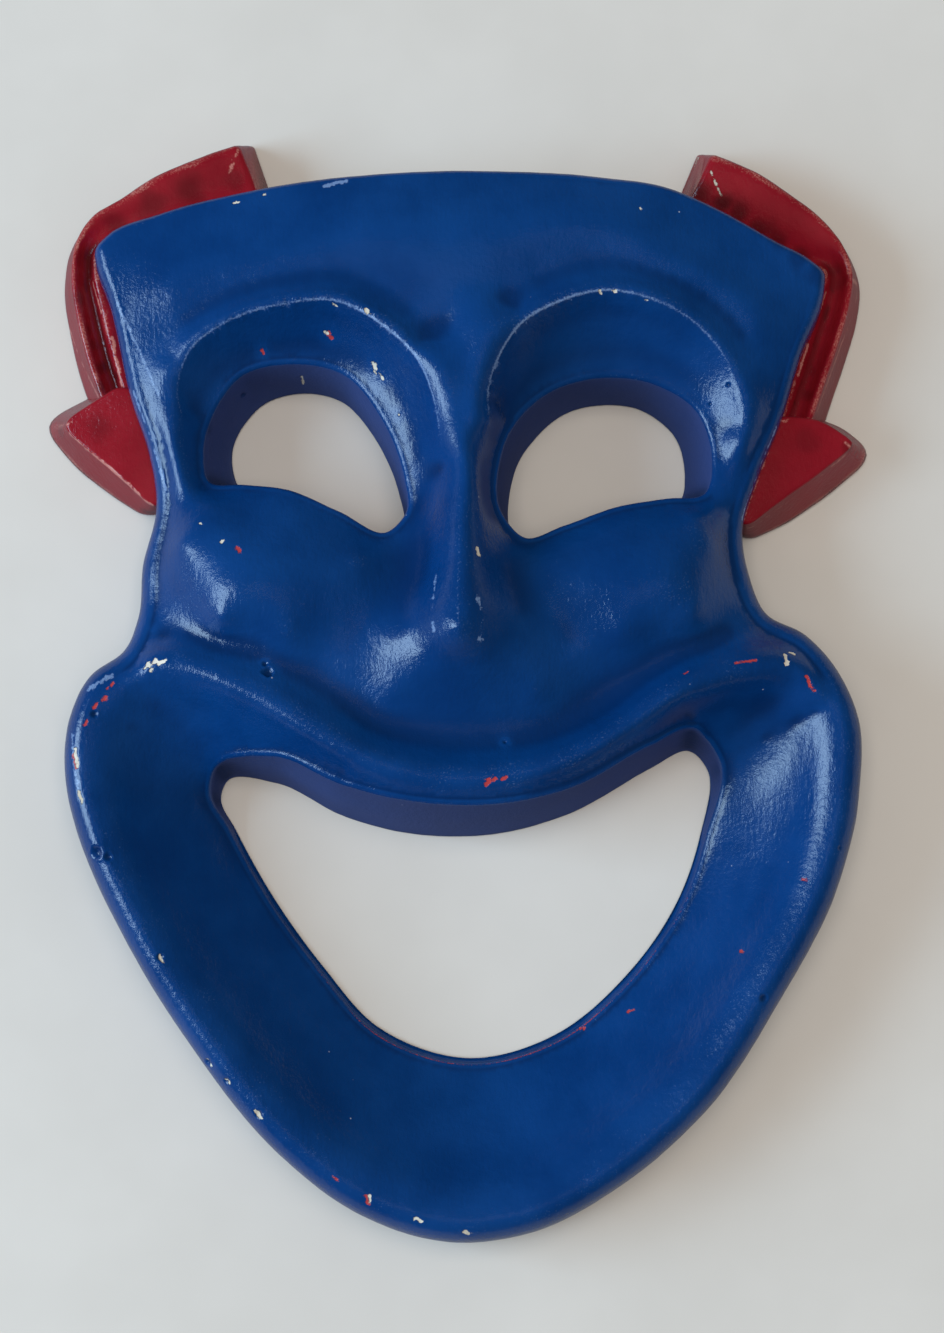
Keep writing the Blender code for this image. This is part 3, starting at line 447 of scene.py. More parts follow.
def smooth_rows(rows, spacing, closed):
    """Points at equal spacing on a smooth curve through the rows, with every column carried along."""
    rows = np.asarray(rows, float)
    if closed:
        rows = np.vstack([rows[-2:], rows, rows[:3]])
    chord = np.maximum(np.linalg.norm(np.diff(rows[:, :2], axis=0), axis=1), 1e-9)
    slope = np.diff(rows, axis=0) / chord[:, None]
    tangent = np.empty_like(rows)
    tangent[0], tangent[-1] = slope[0], slope[-1]
    before, after = chord[:-1, None], chord[1:, None]
    tangent[1:-1] = (slope[:-1] * after + slope[1:] * before) / (before + after)
    first, last = (2, len(rows) - 3) if closed else (0, len(rows) - 1)
    t = np.linspace(0, 1, SMOOTHING_STEPS, endpoint=False)[:, None]
    fine = []
    for i in range(first, last):
        h = chord[i]
        fine.append(
            (2 * t**3 - 3 * t**2 + 1) * rows[i]
            + (t**3 - 2 * t**2 + t) * h * tangent[i]
            + (3 * t**2 - 2 * t**3) * rows[i + 1]
            + (t**3 - t**2) * h * tangent[i + 1]
        )
    fine = np.vstack(fine + [rows[last][None]])
    along = np.append(0, np.cumsum(np.linalg.norm(np.diff(fine[:, :2], axis=0), axis=1)))
    count = max(int(round(along[-1] / spacing)), 3)
    places = np.linspace(0, along[-1], count + (not closed), endpoint=not closed)
    return np.column_stack([np.interp(places, along, column) for column in fine.T])


def right_normals(points, closed):
    """Unit vectors to the right of the way the curve runs."""
    if closed:
        step = np.roll(points, -1, axis=0) - np.roll(points, 1, axis=0)
    else:
        step = np.gradient(points, axis=0)
    step = step / np.linalg.norm(step, axis=1)[:, None]
    return np.column_stack([step[:, 1], -step[:, 0]])


def in_portions(work, points, size=3000):
    """The work's results for the points, done a portion at a time."""
    return np.concatenate([work(points[i : i + size]) for i in range(0, len(points), size)])


def inside(points, loop):
    """Which of the points lie inside a closed loop, by crossings."""
    x0, y0 = loop.T
    x1, y1 = np.roll(loop, -1, axis=0).T
    rise = np.where(y1 == y0, 1e-12, y1 - y0)

    def test(part):
        x, y = part[:, 0, None], part[:, 1, None]
        crosses = (y0 > y) != (y1 > y)
        return (crosses & (x < (x1 - x0) * (y - y0) / rise + x0)).sum(axis=1) % 2 == 1

    return in_portions(test, points)


def between(first, second, falls):
    """Rows on the way from each point of one line to the nearest part of another, at the given falls."""
    gap = np.linalg.norm(first[:, None, :2] - second[None, :, :2], axis=2)
    wide = gap.min(axis=1) > LEAST_SLOPE_WIDTH
    first, gap = first[wide], gap[wide]
    pull = np.exp((gap.min(axis=1)[:, None] - gap) / PARTNER_REACH)
    partner = (pull / pull.sum(axis=1)[:, None]) @ second[:, :3]
    rows = []
    for share, fall in falls:
        plan = first[:, :2] + share * (partner[:, :2] - first[:, :2])
        rows.append(np.column_stack([plan, first[:, 2] + fall * (partner[:, 2] - first[:, 2])]))
    return np.vstack(rows)


def clear_of(rows, edge, least):
    """The rows that are at least this far from the edge."""
    gap = np.linalg.norm(rows[:, None, :2] - edge[None, :, :2], axis=2)
    return rows[gap.min(axis=1) > least]


def spread(rows, least):
    """The rows with any that crowds an earlier one left out."""
    kept = []
    free = np.ones(len(rows), bool)
    for i, row in enumerate(rows):
        if free[i]:
            kept.append(row)
            free &= np.abs(rows[:, :2] - row[:2]).sum(axis=1) > least
    return np.array(kept)


def sheet_through(rows):
    """A function giving the height of a bent thin sheet that passes through the rows."""
    reach = MASK_LENGTH / 4

    def bend(a, b):
        square = ((a[:, None] - b[None]) ** 2).sum(axis=2)
        return 0.5 * square * np.log(square + 1e-18)

    at = rows[:, :2] / reach
    count = len(at)
    flat = np.column_stack([np.ones(count), at])
    system = np.zeros((count + 3, count + 3))
    system[:count, :count] = bend(at, at) + SHEET_STIFFNESS * np.eye(count)
    system[:count, count:] = flat
    system[count:, :count] = flat.T
    weights = np.linalg.solve(system, np.append(rows[:, 2], np.zeros(3)))

    def height(points):
        def portion(part):
            places = part / reach
            return bend(places, at) @ weights[:count] + weights[count] + places @ weights[count + 1 :]

        return in_portions(portion, points)

    return height


def outline_rings(spacing, wall_steps, turns):
    """Rings of the outer edge from its foot to the top of its rounding, and their shares of the rounding."""
    rows = smooth_rows(scaled(OUTLINE, PLAN, PLAN, HEIGHT, MILLIMETRE), spacing, True)
    inward = right_normals(rows[:, :2], True)
    radius = rows[:, 3:]
    wall_top = rows[:, 2] - EDGE_STEEPNESS * rows[:, 3]
    rings, shares = [], []
    for share in np.linspace(0, 1, wall_steps, endpoint=False):
        plan = rows[:, :2] - (1 - share) * OUTER_DRAFT * inward
        rings.append(np.column_stack([plan, share * wall_top]))
        shares.append(0.0)
    for turn in np.radians(turns):
        plan = rows[:, :2] + radius * (1 - np.cos(turn)) * inward
        drop = EDGE_STEEPNESS * rows[:, 3] * (1 - np.sin(turn))
        rings.append(np.column_stack([plan, rows[:, 2] - drop]))
        shares.append(np.sin(turn))
    return rings, shares, inward


def hole_rings(rows, spacing, wall_steps, turns):
    """Rings of a hole from its foot to the top of its rounded edge, and their shares of the rounding."""
    rows = smooth_rows(scaled(rows, PLAN, PLAN, HEIGHT, PLAN, PLAN), spacing, True)
    outward = -right_normals(rows[:, :2], True)
    rings, shares = [], []
    for share in np.linspace(0, 1, wall_steps, endpoint=False):
        plan = rows[:, 3:5] + share * (rows[:, :2] - rows[:, 3:5])
        rings.append(np.column_stack([plan, share * (rows[:, 2] - HOLE_EDGE_RADIUS)]))
        shares.append(0.0)
    for turn in np.radians(turns):
        plan = rows[:, :2] + HOLE_EDGE_RADIUS * (1 - np.cos(turn)) * outward
        rings.append(np.column_stack([plan, rows[:, 2] - HOLE_EDGE_RADIUS * (1 - np.sin(turn))]))
        shares.append(np.sin(turn))
    return rings, shares, outward


def carved(rows, spacing=CARVING_STEP):
    """A line of the carving, in metres."""
    return smooth_rows(scaled(rows, PLAN, PLAN, HEIGHT), spacing, False)


def carving_lines():
    """The rows that the carved front passes through."""
    outline_top = outline_rings(FACET, 1, [0, 50, 90])[0][-1]
    mouth, eye_left, eye_right = [hole_rings(rows, FACET, 1, [0, 90])[0][-1] for rows in HOLES]
    lip = carved(LIP_CREST)
    nose = carved(NOSE_RIDGE)
    jaw = outline_top[outline_top[:, 1] < lip[0, 1]]
    rows = [mouth, eye_left, eye_right, lip, nose]
    for brow, eye in ((BROW_LEFT, eye_left), (BROW_RIGHT, eye_right)):
        line = carved(brow)
        outward = -right_normals(line[:, :2], False)
        rows += [line, between(line, eye, SOCKET_FALL)]
        clear = np.abs(line[:, 0] - nose[0, 0]) > NOSE_CLEARANCE
        for away, fall in BROW_ROLL:
            rolled = np.column_stack([line[:, :2] + away * outward, line[:, 2] - fall])
            rows.append(clear_of(rolled[clear], outline_top, ROLL_CLEARANCE))
    rows.append(between(np.vstack([jaw, lip]), mouth, FUNNEL_FALL))
    rows += [carved(line) for line in (LIP_VALLEY, *OTHER_LINES.values())]
    rows = [outline_top] + [clear_of(line, outline_top, EDGE_CLEARANCE) for line in rows]
    return spread(np.vstack(rows), LEAST_LINE_GAP)


def nearest(points, others):
    """The distance from each point to the nearest of the others, and which that is."""
    tree = KDTree(len(others))
    flat = others.shape[1] == 2
    for i, p in enumerate(others):
        tree.insert((p[0], p[1], 0.0 if flat else p[2]), i)
    tree.balance()
    found = [tree.find((p[0], p[1], 0.0 if flat else p[2]))[1:] for p in points]
    return np.array([f[1] for f in found]), np.array([f[0] for f in found])


def six_sided_grid(loops, spacing):
    """Points of a six-sided grid inside the first loop and outside the others."""
    low, high = loops[0].min(axis=0), loops[0].max(axis=0)
    grid = np.array([
        (x + (k % 2) * spacing / 2, y)
        for k, y in enumerate(np.arange(low[1], high[1], spacing * np.sqrt(3) / 2))
        for x in np.arange(low[0], high[0], spacing)
    ])
    keep = inside(grid, loops[0])
    for loop in loops[1:]:
        keep &= ~inside(grid, loop)
    return grid[keep]


def filled(loops, points, joined, index, up):
    """Triangles inside the first loop and outside the others, through the points, some of them joined."""
    flat = np.vstack([loop[:, :2] for loop in loops] + [points])
    edges, start = list(joined), 0
    for loop in loops:
        edges += [(start + i, start + (i + 1) % len(loop)) for i in range(len(loop))]
        start += len(loop)
    places = [tuple(p) for p in flat * TO_MILLIMETRES]
    result = delaunay_2d_cdt(places, edges, [], 0, TRIANGLE_TOLERANCE, True)
    triangles = np.array([[result[3][v][0] for v in triangle] for triangle in result[2]])
    middle = flat[triangles].mean(axis=1)
    keep = inside(middle, loops[0][:, :2])
    for loop in loops[1:]:
        keep &= ~inside(middle, loop[:, :2])
    triangles = triangles[keep]
    a, b, c = flat[triangles[:, 0]], flat[triangles[:, 1]], flat[triangles[:, 2]]
    turn = (b[:, 0] - a[:, 0]) * (c[:, 1] - a[:, 1]) - (b[:, 1] - a[:, 1]) * (c[:, 0] - a[:, 0])
    flip = (turn > 0) != up
    triangles[flip] = triangles[flip][:, ::-1]
    return [tuple(int(index[v]) for v in triangle) for triangle in triangles]


def strips(starts, size, outside):
    """Faces between equal rings whose first points are at the starts."""
    faces = []
    for below, above in zip(starts[:-1], starts[1:]):
        for i in range(size):
            j = (i + 1) % size
            side = (below + j, below + i, above + i, above + j)
            faces.append(side if outside else side[::-1])
    return faces


# The face


def with_rounded_foot(rings, sideways):
    """The rings of an edge with its foot rounded over to the back, the back's ring first."""
    foot = rings[0].copy()
    rings[0][:, 2] = FOOT_ROUNDING
    inner = foot.copy()
    inner[:, :2] += FOOT_ROUNDING * sideways
    middle = foot.copy()
    middle[:, :2] += FOOT_MIDDLE * FOOT_ROUNDING * sideways
    middle[:, 2] = FOOT_MIDDLE * FOOT_ROUNDING
    return [inner, middle] + rings


def crease_points(edges_at, outline):
    """Points along the creases, to which the front's triangles keep, and which of them are joined."""
    lines, joined, start = [], [], len(edges_at)
    for line in CREASES:
        line = carved(line, FINE)[:, :2]
        line = line[nearest(line, edges_at)[0] > CREASE_CLEARANCE * FINE]
        line = line[inside(line, outline)]
        joined += [(start + i, start + i + 1) for i in range(len(line) - 1)]
        start += len(line)
        lines.append(line)
    return np.vstack(lines), joined


def numbering(starts, loops, count, grid):
    """The vertex numbers of several loops, and then of a grid whose vertices follow the first count."""
    parts = [at + np.arange(len(loop)) for at, loop in zip(starts, loops)]
    return np.concatenate(parts + [count + np.arange(len(grid))])


def face_surface():
    """Vertices and faces of the detailed face."""
    height = sheet_through(carving_lines())
    families = [outline_rings(FINE, WALL_STEPS, EDGE_TURNS)]
    families += [hole_rings(rows, FINE, HOLE_WALL_STEPS, EDGE_TURNS[::2]) for rows in HOLES]
    vertices, faces, count = [], [], 0
    tops, feet, top_starts, foot_starts = [], [], [], []
    for which, (rings, shares, sideways) in enumerate(families):
        step = height(rings[-1][:, :2]) - rings[-1][:, 2]
        for ring, share in zip(rings, shares):
            ring[:, 2] += share * step
        rings = with_rounded_foot(rings, sideways)
        size = len(rings[0])
        starts = [count + i * size for i in range(len(rings))]
        faces += strips(starts, size, which == 0)
        vertices += rings
        count += size * len(rings)
        tops.append(rings[-1])
        feet.append(rings[0])
        top_starts.append(starts[-1])
        foot_starts.append(starts[0])

    edges_at = np.vstack(tops)[:, :2]
    creases, joined = crease_points(edges_at, tops[0][:, :2])
    grid = six_sided_grid([top[:, :2] for top in tops], FINE)
    near = nearest(grid, np.vstack([edges_at, creases]))[0]
    grid = np.vstack([creases, grid[near > GRID_CLEARANCE * FINE]])
    vertices.append(np.column_stack([grid, height(grid)]))
    faces += filled(tops, grid, joined, numbering(top_starts, tops, count, grid), up=True)
    count += len(grid)

    back = six_sided_grid([foot[:, :2] for foot in feet], BACK_FINE)
    back = back[nearest(back, np.vstack(feet)[:, :2])[0] > GRID_CLEARANCE * BACK_FINE]
    vertices.append(np.column_stack([back, np.zeros(len(back))]))
    faces += filled(feet, back, [], numbering(foot_starts, feet, count, back), up=False)
    return np.vstack(vertices), faces


# The ribbons


def softened(points):
    """The open polygon in the section's plane with its corners cut off."""
    for _ in range(SOFTENING_ROUNDS):
        first, last = points[:1], points[-1:]
        early = (1 - SOFTENING) * points[:-1] + SOFTENING * points[1:]
        late = SOFTENING * points[:-1] + (1 - SOFTENING) * points[1:]
        points = np.vstack([first, np.stack([early, late], axis=1).reshape(-1, 2)[1:-1], last])
    return points


def evenly(points, count):
    """That many points at equal spacing on the open polygon."""
    along = np.append(0, np.cumsum(np.linalg.norm(np.diff(points, axis=0), axis=1)))
    places = np.linspace(0, along[-1], count)
    return np.column_stack([np.interp(places, along, column) for column in points.T])


def ribbon_section(sections, weight, width):
    """A ribbon's section as offsets across and heights, with this weight of the second of its two shapes."""
    first, second = (np.array(rows) for rows in sections)
    rows = (1 - weight) * first + weight * second
    top = np.column_stack([rows[:, 0] * width, RIBBON_HEIGHT - rows[:, 1]])
    foot = [-RIBBON_DRAFT, RIBBON_LIFT]
    embedded_top = [width + RIBBON_EMBED, top[-1, 1]]
    embedded_foot = [width + RIBBON_EMBED, RIBBON_LIFT]
    upper = evenly(softened(np.vstack([foot, top, embedded_top])), SECTION_POINTS)
    return np.vstack([upper, embedded_foot])


def ribbon_band(rows, side, sections, bend):
    """Vertices and faces of a ribbon's band."""
    path = smooth_rows(scaled(rows, PLAN, PLAN, 1), RIBBON_FINE, False)
    inward = side * right_normals(path[:, :2], False)
    ahead = np.gradient(path[:, :2], axis=0)
    ahead /= np.linalg.norm(ahead, axis=1)[:, None]
    along = RIBBON_FINE * np.arange(len(path))
    places = np.append(END_RINGS, along[along > END_RINGS[-1]])
    path, inward, ahead = [
        np.column_stack([np.interp(places, along, column) for column in table.T])
        for table in (path, inward, ahead)
    ]
    rings = []
    for distance, (x, y, width), across, onward in zip(places, path, inward, ahead):
        share = distance / along[-1]
        weight = float(np.clip((share - bend) / BEND_LENGTH + 0.5, 0, 1))
        section = ribbon_section(sections, weight * weight * (3 - 2 * weight), width)
        fade = max(0.0, 1 - distance / END_LEAN_FADE)
        short = max(0.0, 1 - distance / END_ROUNDING)
        rounding = END_ROUNDING * (1 - np.sqrt(1 - short * short))
        ring = []
        for offset, z in section:
            offset += rounding * (1 - max(offset, 0.0) / width)
            z -= rounding * max(z / RIBBON_HEIGHT, 0.0) ** 3
            lean = RIBBON_END_LEAN * (1 - z / RIBBON_HEIGHT) * fade
            ring.append((*((x, y) + offset * across - lean * onward), z))
        rings.append(np.array(ring))
    size = len(rings[0])
    faces = strips([i * size for i in range(len(rings))], size, True)
    ends = [tuple(range(size)), tuple(reversed(range((len(rings) - 1) * size, len(rings) * size)))]
    return np.vstack(rings), faces + ends


def rounded(rows, cut):
    """The closed polygon with each corner cut several times, so that it turns in short steps."""
    for share in CORNER_CUTS:
        ahead, behind = np.roll(rows, -1, axis=0), np.roll(rows, 1, axis=0)
        new = []
        for row, after, before in zip(rows, ahead, behind):
            for other in (before, after):
                length = np.linalg.norm(other[:2] - row[:2])
                new.append(row + (other - row) * min(share * cut / length, MOST_CUT))
        rows = np.array(new)
    return rows


def loop_evenly(rows, spacing):
    """The closed polygon at equal spacing."""
    rows = np.vstack([rows, rows[:1]])
    along = np.append(0, np.cumsum(np.linalg.norm(np.diff(rows[:, :2], axis=0), axis=1)))
    places = np.arange(0, along[-1] - 0.5 * spacing, spacing)
    return np.column_stack([np.interp(places, along, column) for column in rows.T])


def ribbon_tail(rows):
    """Vertices and faces of a ribbon's tail."""
    rows = loop_evenly(rounded(scaled(rows, PLAN, PLAN, 1, PLAN, PLAN), TAIL_CORNER), RIBBON_FINE)
    middle = rows[:, :2].mean(axis=0)
    inward = middle - rows[:, :2]
    inward /= np.linalg.norm(inward, axis=1)[:, None]
    rings = []
    for share in np.linspace(0, 1, TAIL_WALL_STEPS, endpoint=False):
        plan = rows[:, 3:5] + share * (rows[:, :2] - rows[:, 3:5])
        rings.append(np.column_stack([plan, RIBBON_LIFT + share * (rows[:, 2] - TAIL_EDGE - RIBBON_LIFT)]))
    for turn in np.radians(TAIL_EDGE_TURNS):
        plan = rows[:, :2] + TAIL_EDGE * (1 - np.cos(turn)) * inward
        rings.append(np.column_stack([plan, rows[:, 2] - TAIL_EDGE * (1 - np.sin(turn))]))
    size, count = len(rows), len(rows) * len(rings)
    faces = strips([i * size for i in range(len(rings))], size, True)
    top = rings[-1]
    height = sheet_through(top[::3])
    grid = six_sided_grid([top[:, :2]], RIBBON_FINE)
    grid = grid[nearest(grid, top[:, :2])[0] > GRID_CLEARANCE * RIBBON_FINE]
    faces += filled([top], grid, [], numbering([count - size], [top], count, grid), up=True)
    faces.append(tuple(range(size)))
    return np.vstack(rings + [np.column_stack([grid, height(grid)])]), faces


def joined_up(*shapes):
    """Several shapes' vertices and faces as one."""
    vertices, faces, start = [], [], 0
    for points, polygons in shapes:
        vertices.append(points)
        faces += [tuple(v + start for v in polygon) for polygon in polygons]
        start += len(points)
    return np.vstack(vertices), faces


# The camera


def place_camera(target):
    """The camera of the photograph's view."""
    data = bpy.data.cameras.new("view")
    data.sensor_fit = "AUTO"
    data.sensor_width = SENSOR_MILLIMETRES
    data.lens = SENSOR_MILLIMETRES * FOCAL_PIXELS / VIEW_HEIGHT
    data.clip_start = NEAREST_SEEN
    camera = bpy.data.objects.new("view", data)
    camera.location = target + Vector((0, -np.sin(VIEW_TILT), np.cos(VIEW_TILT))) * VIEW_DISTANCE
    camera.rotation_euler = (VIEW_TILT, 0, 0)
    bpy.context.scene.collection.objects.link(camera)
    bpy.context.scene.camera = camera
    return camera


def seen_at(pixel, tree, eye):
    """The point of the surface that shows at a pixel of the view."""
    u, v = pixel[0] - VIEW_WIDTH / 2, pixel[1] - VIEW_HEIGHT / 2
    cos, sin = np.cos(VIEW_TILT), np.sin(VIEW_TILT)
    direction = Vector((u, FOCAL_PIXELS * sin - v * cos, -FOCAL_PIXELS * cos - v * sin)).normalized()
    return tree.ray_cast(eye, direction)[0]


# Surface detail


def uneven(points, size, seed):
    """Smooth noise from -1 to 1 with bumps of about this size."""
    away = Vector((seed * 3.7, seed * 1.3, seed * 2.1))
    return np.array([noise.noise(Vector(p) / size + away) for p in points])


def bumps(points, layers):
    """The sum of several layers of smooth noise, each with its height, size and seed."""
    return sum(height * uneven(points, size, seed) for height, size, seed in layers)


def ramp(value, low, high):
    """The value brought smoothly from 0 at low to 1 at high."""
    t = np.clip((value - low) / (high - low), 0, 1)
    return t * t * (3 - 2 * t)


def marked(points, marks, tree, eye):
    """How far inside the nearest mark each point is, in metres: above zero is in it."""
    depth = np.full(len(points), -1.0)
    for mark in marks:
        start, end = seen_at(mark[:2], tree, eye), seen_at(mark[2:4], tree, eye)
        if start is None or end is None:
            continue
        start, end = np.array(start), np.array(end)
        half_width = mark[4] * MILLIMETRE
        middle, way = (start + end) / 2, end - start
        reach = half_width + MARK_REACH + np.linalg.norm(way)
        close = np.flatnonzero(np.linalg.norm(points - middle, axis=1) < reach)
        if not len(close):
            continue
        part = points[close]
        along = np.clip((part - start) @ way / max(way @ way, 1e-12), 0, 1)
        away = np.linalg.norm(part - start - along[:, None] * way, axis=1)
        ragged = half_width * bumps(part, MARK_RAGGEDNESS)
        depth[close] = np.maximum(depth[close], MARK_FULLNESS * half_width + ragged - away)
    return depth


def refined(mesh, centres, cuts):
    """Splits the faces round the centres, which are points with a radius, into smaller ones."""
    shape = bmesh.new()
    shape.from_mesh(mesh)
    tree = KDTree(len(shape.edges))
    for edge in shape.edges:
        tree.insert((edge.verts[0].co + edge.verts[1].co) / 2, edge.index)
    tree.balance()
    chosen = set()
    for centre, radius in centres:
        chosen.update(found[1] for found in tree.find_range(centre, radius))
    shape.edges.ensure_lookup_table()
    edges = [shape.edges[i] for i in chosen]
    bmesh.ops.subdivide_edges(shape, edges=edges, cuts=cuts, use_grid_fill=True)
    bmesh.ops.triangulate(shape, faces=[face for face in shape.faces if len(face.verts) > 4])
    shape.to_mesh(mesh)
    shape.free()


def mark_centres(marks, tree, eye):
    """Points along each mark with the radius to make finer."""
    centres = []
    for mark in marks:
        line = len(mark) > 4
        ends = [mark[:2], mark[2:4]] if line else [mark[:2]]
        radius = (mark[4] if line else mark[2]) * MILLIMETRE + MARK_MARGIN
        spots = [seen_at(end, tree, eye) for end in ends]
        if None in spots:
            continue
        count = int((spots[-1] - spots[0]).length / radius) + 1
        centres += [(spots[0].lerp(spots[-1], i / count), radius) for i in range(count + 1)]
    return centres


def relaxed_height(points, normals, edges, rounds):
    """How far each point stands proud of its surroundings, by averaging over neighbours."""
    smooth = points.copy()
    both = np.concatenate([edges, edges[:, ::-1]])
    share = 1 / np.maximum(np.bincount(both[:, 0], minlength=len(points)), 1)
    for _ in range(rounds):
        smooth = np.column_stack([
            np.bincount(both[:, 0], weights=smooth[both[:, 1], axis], minlength=len(points)) * share
            for axis in range(3)
        ])
    return ((points - smooth) * normals).sum(axis=1)


def mesh_arrays(mesh):
    """Positions, normals and edges of a mesh."""
    points = np.empty(len(mesh.vertices) * 3)
    normals = np.empty(len(mesh.vertices) * 3)
    edges = np.empty(len(mesh.edges) * 2, np.int32)
    mesh.vertices.foreach_get("co", points)
    mesh.vertices.foreach_get("normal", normals)
    mesh.edges.foreach_get("vertices", edges)
    return points.reshape(-1, 3), normals.reshape(-1, 3), edges.reshape(-1, 2)


def store(mesh, name, values):
    """Keeps a value from 0 to 1 for each vertex, for the materials to read."""
    attribute = mesh.attributes.new(name, "FLOAT", "POINT")
    attribute.data.foreach_set("value", np.clip(values, 0, 1).astype(np.float32))


def new_piece(name, vertices, faces, material):
    """An object with this mesh and material."""
    mesh = bpy.data.meshes.new(name)
    mesh.from_pydata(vertices.tolist(), [], faces)
    shape = bmesh.new()
    shape.from_mesh(mesh)
    bmesh.ops.triangulate(shape, faces=[f for f in shape.faces if len(f.verts) > 4])
    bmesh.ops.recalc_face_normals(shape, faces=shape.faces)
    shape.to_mesh(mesh)
    shape.free()
    mesh.materials.append(material)
    mesh.shade_smooth()
    piece = bpy.data.objects.new(name, mesh)
    bpy.context.scene.collection.objects.link(piece)
    return piece


def along_lines(points, lines, half_width):
    """How strongly the nearest of the lines' points (with strengths) is felt at each point."""
    if not len(lines):
        return np.zeros(len(points))
    away, which = nearest(points, lines[:, :3])
    return lines[which, 3] * np.exp(-((away / half_width) ** 2))


def spread_from(pixel, radius, points, tree, eye, raggedness, grain):
    """Which points are near the spot seen at a pixel, and their ragged distances from it in radii."""
    spot = seen_at(pixel, tree, eye)
    if spot is None:
        return np.empty(0, int), np.empty(0)
    away = np.linalg.norm(points - np.array(spot), axis=1) / (radius * MILLIMETRE)
    close = np.flatnonzero(away < SPREAD_REACH)
    return close, away[close] * (1 + raggedness * uneven(points[close], grain, 7))


def worn_line(line, wear_and_painted_highlight):
    """The line's points with the strength given for each share of its length."""
    share = np.linspace(0, 1, len(line))
    return np.column_stack([line[:, :3], np.interp(share, *np.array(wear_and_painted_highlight).T)])


def edge_feet():
    """The plan of the outer edge's foot, then of each hole's."""
    families = [outline_rings(FACET, 1, [0])] + [hole_rings(rows, FACET, 1, [0]) for rows in HOLES]
    return [rings[0][:, :2] for rings, _, _ in families]


def matt_walls(points, normals, on_back, is_face):
    """How matt the steep walls are, and how far their thin paint pales them, partly as a painted sheen."""
    steep = ramp(STEEP - np.abs(normals[:, 2]), 0.0, STEEP_BLEND) * (1 - on_back)
    if not is_face:
        return RIBBON_WALL_MATT * steep
    outer, *holes = edge_feet()
    in_hole = nearest(points[:, :2], np.vstack(holes))[0] < nearest(points[:, :2], outer)[0]
    return steep * in_hole * ramp(points[:, 1], *TALL_WALLS)


def bare_back(points, shift):
    """The field of bare plaster on the back, inside the overspill of the paint round its edges."""
    away = nearest(points[:, :2], np.vstack(edge_feet()) + shift[:2])[0]
    ragged = OVERSPILL_RAGGEDNESS * uneven(points, OVERSPILL_PATCH, 9)
    return 0.5 + (away - OVERSPILL + ragged) / OVERSPILL_BLEND


def sink_pits(pits, moved, soil_and_painted_shade, points, tree, eye):
    """Sinks the pits, raises a ring round each and darkens their insides."""
    for *pixel, radius, depth in pits:
        close, away = spread_from(pixel, radius, points, tree, eye, *PIT_EDGE)
        moved[close] -= depth * MILLIMETRE * (1 - ramp(away, *PIT_SIDE))
        ring = np.exp(-(((away - PIT_RING_PLACE) / PIT_RING_WIDTH) ** 2))
        moved[close] += PIT_RING_RISE * depth * MILLIMETRE * ring
        soil_and_painted_shade[close] = np.maximum(soil_and_painted_shade[close], 1 - ramp(away, *PIT_SOIL))


def spread_dirt_and_painted_shade(soil_and_painted_shade, points, tree, eye):
    """Adds the patches of dirt and painted shade to the darkening."""
    for *pixel, radius, strength in DIRT_AND_PAINTED_SHADE:
        close, away = spread_from(pixel, radius, points, tree, eye, *DIRT_AND_PAINTED_SHADE_EDGE)
        soil_and_painted_shade[close] = np.maximum(soil_and_painted_shade[close], strength * (1 - ramp(away, *DIRT_AND_PAINTED_SHADE_SIDE)))


def edge_wear_and_painted_highlight(points, proud, worn_and_painted_highlight, strokes, strength, tree, eye):
    """How pale the paint is on edges, along the crest lines and in the strokes: wear, partly a painted
    highlight on the crests, the forehead's left edge and the nose.
    """
    patchy = WEAR_MEAN + WEAR_VARIES * uneven(points, WEAR_PATCH, 10)
    wear_and_painted_highlight = strength * ramp(proud, *EDGE_WEAR) * patchy
    wear_and_painted_highlight = np.maximum(wear_and_painted_highlight, along_lines(points, worn_and_painted_highlight, WORN_WIDTH))
    for stroke in strokes:
        depth = marked(points, [stroke], tree, eye)
        wear_and_painted_highlight = np.maximum(wear_and_painted_highlight, stroke[5] * ramp(depth, *STROKE_SIDE))
    return wear_and_painted_highlight


